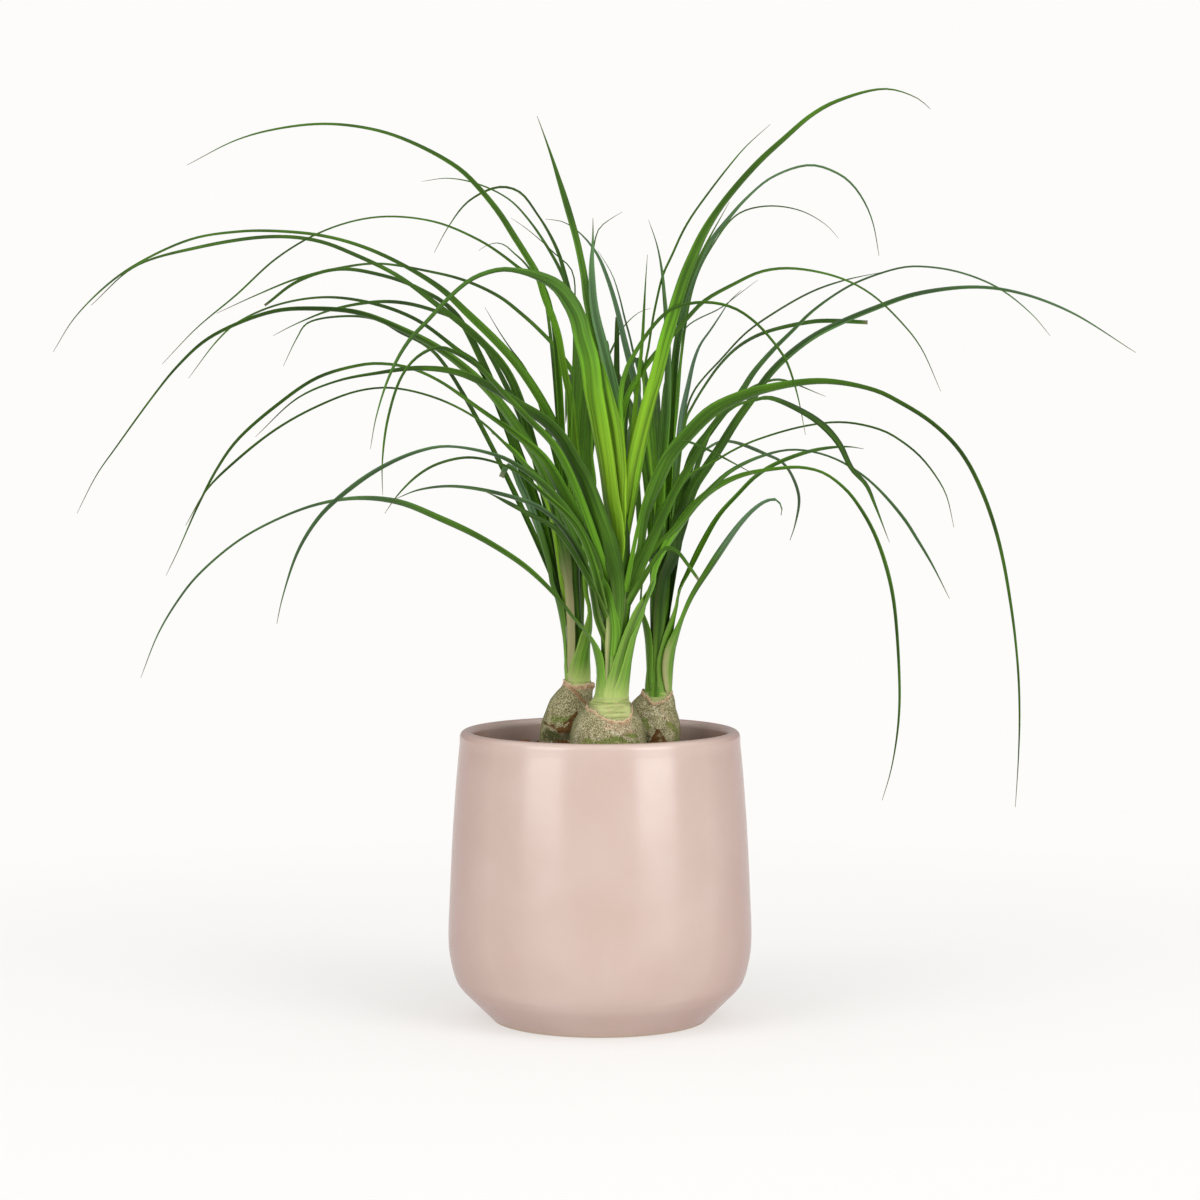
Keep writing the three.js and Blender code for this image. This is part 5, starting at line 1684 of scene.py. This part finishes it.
    def ring(self, strand: Strand, i: int, side: Vector) -> list[int]:
        """Adds the points round a leaf at a point of its path.

        Args:
            strand: The leaf.
            i: The point's number.
            side: The direction across the leaf there.

        Returns:
            The numbers of the points, along the inner side and back along the outer one.
        """
        leaf, rows, place, run = strand.leaf, strand.rows, strand.path[i], strand.run(i)
        opened = strand.parting + self.opening
        clasp = 1 - ease(0, opened, run)
        wide = blend(strand.widths(i)[1], strand.foot, clasp)
        open_by = self.curl if rows else blend(self.curl, leaf.clasp, clasp)
        below, over = self.freeing
        near = rows and run < opened and place.z < strand.top + over
        hugged = self.hug(rows, place.z, strand.order) if near else None
        free = ease(strand.top - below, strand.top + over, place.z)
        face = strand.along(i).cross(side)
        radius = wide / (2 * open_by)
        centre = place + face * radius
        thick = self.thickness * min(1.0, 0.3 + wide / 6)
        tints = self.tints(strand, i)
        dry = ease(leaf.dry_to, 0.5 * leaf.dry_to, run + strand.path[0].z - self.plant.neck)
        spread = hugged[0] * (hugged[2] - hugged[1]) if hugged else wide
        last = self.columns[1 if rows else 0] - 1
        loop = []
        for column, outer in [(c, False) for c in range(last + 1)] + [(c, True) for c in range(last, -1, -1)]:
            u = 2 * column / last - 1
            radial = side * math.sin(u * open_by) - face * math.cos(u * open_by)
            half = 0.5 * thick * (1 - self.thinned * u * u) * (1 if outer else -1)
            fold = self.fold * wide * (1 - abs(u)) ** 2 * (1 - clasp)
            point = centre + radial * (radius + fold + half)
            if hugged:
                turn = blend(hugged[1], hugged[2], (u + 1) / 2)
                half *= blend(0.2, 1, ease(rows[0][0], rows[0][0] + 6, place.z))
                point = self.on_column(hugged[0] + half, turn, place.z).lerp(point, free)
            margin = ease(0.25, 0.8, -u if rows else abs(u)) + max(0.0, leaf.beige - 1)
            beige = min(self.most_beige, leaf.beige * margin) * dry
            # rim: the pale margin line, partly the leaf's own margin and partly a painted highlight.
            loop.append(self.draft.add(point, rim=ease(0.75, 1, abs(u)), beige=beige, **tints))
            self.draft.flat.append((u * blend(spread, wide, free) / 2 + strand.offset, run))
        return loop

    def blade(self, strand: Strand, seen: bool) -> None:
        """Adds a leaf to the draft: a closed thin blade that widens into a wrapping sheath."""
        rings = [self.ring(strand, i, side) for i, side in enumerate(self.sides(strand, seen))]
        self.draft.skin([list(reversed(ring)) for ring in rings])

    def core(self) -> None:
        """Adds the heart of the column, which the sheaths are wrapped round."""
        sectors = 24
        rings = []
        for height, _, radius in self.plant.column:
            ring = []
            above = height - self.plant.neck
            core_radius = self.core_share * radius
            for k in range(sectors):
                point = self.plant.side(360 * k / sectors, core_radius, height)
                tints = {"sheath": 0.6 * ease(*self.green_above, above), "blanched": 0.2 * ease(14, 0, above)}
                ring.append(self.draft.add(point, bright=0.15, **tints))
                self.draft.flat.append((math.tau * core_radius * k / sectors, height))
            rings.append(ring)
        self.draft.skin(rings)

    def build(self, finish: Material) -> Object:
        """Makes all leaves of the plant.

        Args:
            finish: The living leaf.

        Returns:
            The crown.
        """
        plant = self.plant
        self.core()
        order = 0
        for i, leaf in enumerate(plant.leaves):
            age = i / (len(plant.leaves) - 1)
            strand = self.laid_out(leaf, age, *self.seen_route(leaf, age), seed=i + 1, order=order)
            self.blade(strand, seen=True)
            order += 1 if leaf.wrap else 0
        for i, far in enumerate(plant.far_leaves):
            age = 0.7 * i / len(plant.far_leaves)
            widths = tuple(max(0.4, far.width * (1 - k / 10) ** 0.6) for k in range(11))
            leaf = Leaf(widths, 0, 0.85 - 0.3 * age, (), far.width)
            self.blade(self.laid_out(leaf, age, *self.far_route(far, age), seed=101 + i), seen=False)
        return self.draft.finish(f"leaf_crown_{plant.name}", finish, f"leaves_{plant.name}", "leaf")


# --- soil


@dataclass
class Soil:
    """The potting soil: crumbly compost with bits of bark, mounded round the plants."""

    pot: Pot
    level: float = 132.5
    mound: float = 5
    mound_reach: float = 24
    lump: float = 0.7
    coarse: float = 0.9
    fine: float = 0.55
    gap: float = 0.3
    rings: int = 72
    sectors: int = 200
    chips: int = 48
    chip_size: Pair = (4, 8)
    chip_reach: float = 52
    crumbs: int = 900
    crumb_size: Pair = (0.9, 2.6)
    crumb_margin: float = 2.5
    seed: int = 7

    def height(self, x: float, y: float) -> float:
        """The height of the soil: level at the wall, mounded round the plants, gently lumpy."""
        nearest = min(math.hypot(x - plant.x, y - plant.y) for plant in PLANTS)
        mound = self.mound * math.exp(-((nearest / self.mound_reach) ** 2))
        lumps = self.lump * (math.sin(0.31 * x + 0.12 * y) + math.sin(0.27 * y - 0.11 * x))
        return self.level + mound + lumps

    def surface(self, x: float, y: float) -> Vector:
        """The point of the crumbly surface over a place."""
        rough = self.coarse * noise.noise(Vector((x, y, 0)) * 0.35)
        rough += self.fine * noise.noise(Vector((x, y, 9)) * 0.9)
        return Vector((x, y, self.height(x, y) + rough))

    def bed(self, draft: Draft) -> None:
        """Adds the body of the soil, from the pot's floor up to its crumbly surface."""
        wall = list(reversed(self.pot.inside(self.gap)))[1:-1]
        rings = [
            [draft.add(Vector((x, y, height))) for x, y in round_ring(radius, self.sectors)]
            for radius, height in [(0.5, wall[0][1]), *wall]
        ]
        rim = self.pot.shoulder[0] - self.pot.wall - self.gap
        for i in range(self.rings, 0, -1):
            ring = round_ring(rim * i / self.rings, self.sectors)
            rings.append([draft.add(self.surface(x, y)) for x, y in ring])
        draft.skin(rings)

    @staticmethod
    def lump_shape(subdivisions: int) -> tuple[list[Vector], list[tuple[int, ...]]]:
        """The points and faces of a round lump of radius 1."""
        ball = bmesh.new()
        bmesh.ops.create_icosphere(ball, subdivisions=subdivisions, radius=1)
        points = [v.co.copy() for v in ball.verts]
        faces = [tuple(v.index for v in f.verts) for f in ball.faces]
        ball.free()
        return points, faces

    @staticmethod
    def piece(draft: Draft, shape: tuple, size: Vector, turn: Matrix, place: Vector, **tints: float) -> None:
        """Adds a broken bit to the soil.

        Args:
            draft: The soil.
            shape: A lump's points and faces.
            size: How long, wide and thick the bit is.
            turn: How it lies.
            place: Where it lies.
            **tints: Its colour.
        """
        points, faces = shape
        first = len(draft.points)
        for point in points:
            boxy = Vector([math.copysign(abs(c) ** 0.6, c) for c in point])
            broken = 1 + 0.35 * noise.noise(point * 1.7 + place)
            local = Vector([b * s * 0.5 * broken for b, s in zip(boxy, size)])
            draft.add(turn @ local + place, **tints)
        draft.faces.extend(tuple(first + i for i in face) for face in faces)

    def build(self, finish: Material) -> Object:
        """Makes the soil.

        Args:
            finish: The compost.

        Returns:
            The soil.
        """
        draft = Draft()
        self.bed(draft)
        random = Random(self.seed)
        big, small = self.lump_shape(3), self.lump_shape(1)
        crumb_reach = self.pot.shoulder[0] - self.pot.wall - self.crumb_margin
        for i in range(self.chips + self.crumbs):
            chip = i < self.chips
            long = random.uniform(*(self.chip_size if chip else self.crumb_size))
            size = Vector((long, long * random.uniform(0.45, 0.8), long * random.uniform(0.25, 0.6)))
            angle = random.uniform(0, math.tau)
            reach = (self.chip_reach if chip else crumb_reach) * math.sqrt(random.random())
            x, y = reach * math.cos(angle), reach * math.sin(angle)
            tilt = Matrix.Rotation(random.uniform(-0.5, 0.5), 3, "X")
            turn = Matrix.Rotation(random.uniform(0, math.tau), 3, "Z") @ tilt
            place = Vector((x, y, self.height(x, y) + size.z * 0.25))
            shade = random.random() if chip else random.random() ** 2
            self.piece(draft, big if chip else small, size, turn, place, chip=1.0, chip_shade=shade)
        return draft.finish("potting_compost", finish, "soil", "potting_soil")


# --- studio


@dataclass(frozen=True)
class WhiteAcrylic(Finish):
    """The studio's floor: a matt white acrylic sheet, lit from below away from the pot.

    Near the pot about half of its brightness is its own glow and the rest the light of the room,
    so the pot's soft shadow shows, lightened by that painted glow. Further out it glows as bright
    as the backdrop, so the eye finds no edge between the two.
    """

    sheet: str = "#f3f2f0"
    glow: str = "#fdfcfa"
    room_lit_reach: float = 0.08
    glowing_from: float = 0.7
    least_glow: float = 0.47

    def paint(self, tree: Tree, place: Socket) -> dict:
        """Adds the sheet's nodes and returns the shader's inputs."""
        reach = add_node(tree, "ShaderNodeVectorMath", {"operation": "LENGTH"}, {0: place}).outputs["Value"]
        # Painted glow: weakest close to the pot, where it lightens the pot's shadow, full further out.
        limits = stretch(reach, (self.room_lit_reach, self.glowing_from), (self.least_glow, 1))
        glowing = add_node(tree, "ShaderNodeMapRange", inputs=limits).outputs["Result"]
        return {
            "Base Color": self.coated(tree, self.sheet, (Coat("#000000", "glowing"),), glowing=glowing),
            "Emission Color": linear(self.glow),
            "Emission Strength": glowing,
            "Roughness": 0.9,
            "Specular IOR Level": 0.0,
        }


@dataclass
class Studio:
    """A plain pale floor, soft studio light and the camera at the photograph's angle, in metres."""

    floor_reach: float = 40
    backdrop: str = "#fdfcfa"
    ambient: float = 0.5
    overhead: float = 0.75
    overhead_spread: float = 110
    overhead_tilt: float = 18
    box_radiance: Pair = (2.9, 3.6)
    box_size: Pair = (1.3, 1.9)
    box_distance: float = 2.1
    box_azimuth: float = 45
    box_height: float = 0.95
    box_aim: float = 0.16
    camera_place: Triple = (0, -1.640, 0.313)
    camera_pitch: float = 3.6
    lens: float = 99
    sensor: float = 36
    sight: float = 200

    def floor(self) -> None:
        """Lays the floor."""
        mesh = bpy.data.meshes.new("studio_floor")
        draft = bmesh.new()
        bmesh.ops.create_circle(draft, cap_ends=True, segments=96, radius=self.floor_reach)
        draft.to_mesh(mesh)
        draft.free()
        mesh.materials.append(WhiteAcrylic("white_acrylic_sheet").material())
        floor = bpy.data.objects.new("studio_floor", mesh)
        bpy.context.scene.collection.objects.link(floor)

    def softbox(self, name: str, azimuth: float, radiance: float) -> None:
        """Hangs a soft rectangular light that faces the plant.

        Args:
            name: The light's name.
            azimuth: Its direction, in degrees from the camera's side to the right.
            radiance: How bright its face is.
        """
        lamp = bpy.data.lights.new(name, "AREA")
        lamp.shape = "RECTANGLE"
        lamp.size, lamp.size_y = self.box_size
        lamp.energy = radiance * math.pi * lamp.size * lamp.size_y
        turn = math.radians(azimuth)
        toward = Vector((math.sin(turn), -math.cos(turn), 0))
        place = toward * self.box_distance + Vector((0, 0, self.box_height))
        light = bpy.data.objects.new(name, lamp)
        light.location = place
        light.rotation_euler = (Vector((0, 0, self.box_aim)) - place).to_track_quat("-Z", "Y").to_euler()
        bpy.context.scene.collection.objects.link(light)

    def surroundings(self) -> None:
        """Sets up the backdrop that the camera sees and the light that comes from all sides."""
        world = bpy.data.worlds.new("white_studio")
        bpy.context.scene.world = world
        world.use_nodes = True
        tree = world.node_tree
        tree.nodes.clear()
        lit, seen = [
            add_node(tree, "ShaderNodeBackground", inputs={"Color": linear(colour), "Strength": strength})
            for colour, strength in (("#ffffff", self.ambient), (self.backdrop, 1.0))
        ]
        path = add_node(tree, "ShaderNodeLightPath")
        both = add_node(
            tree,
            "ShaderNodeMixShader",
            inputs={0: path.outputs["Is Camera Ray"], 1: lit.outputs[0], 2: seen.outputs[0]},
        )
        add_node(tree, "ShaderNodeOutputWorld", inputs={"Surface": both.outputs[0]})

    def lights(self) -> None:
        """Sets up the surrounding light, two softboxes and a broad light from above."""
        self.surroundings()
        self.softbox("softbox_left", -self.box_azimuth, self.box_radiance[0])
        self.softbox("softbox_right", self.box_azimuth, self.box_radiance[1])
        sky = bpy.data.lights.new("overhead_light", "SUN")
        sky.energy = self.overhead
        sky.angle = math.radians(self.overhead_spread)
        light = bpy.data.objects.new("overhead_light", sky)
        light.rotation_euler = (math.radians(self.overhead_tilt), 0, 0)
        bpy.context.scene.collection.objects.link(light)

    def camera(self) -> None:
        """Sets up the camera."""
        data = bpy.data.cameras.new("camera")
        data.lens = self.lens
        data.sensor_width = self.sensor
        data.clip_end = self.sight
        camera = bpy.data.objects.new("camera", data)
        camera.location = self.camera_place
        camera.rotation_euler = (math.radians(90 - self.camera_pitch), 0, 0)
        bpy.context.scene.collection.objects.link(camera)
        bpy.context.scene.camera = camera
        bpy.context.scene.view_settings.view_transform = "Standard"


# --- main


def main() -> None:
    """Builds the pot, the soil and the three plants, and the studio round them."""
    logging.basicConfig(level=logging.INFO, format="%(message)s")
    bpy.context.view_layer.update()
    pot = Pot()
    pot.build(SatinGlaze("satin_glazed_stoneware").material())
    Soil(pot).build(Compost("bark_compost").material())
    bark = CorkyBark("corky_bark").material()
    paper = DryHusk("dried_leaf_base").material()
    living = PalmLeaf("living_palm_leaf").material()
    for plant in PLANTS:
        Caudex(plant).build(bark)
        Husk(plant).build(paper)
        Crown(plant).build(living)
    studio = Studio()
    studio.floor()
    studio.lights()
    studio.camera()


if __name__ == "__main__":
    main()
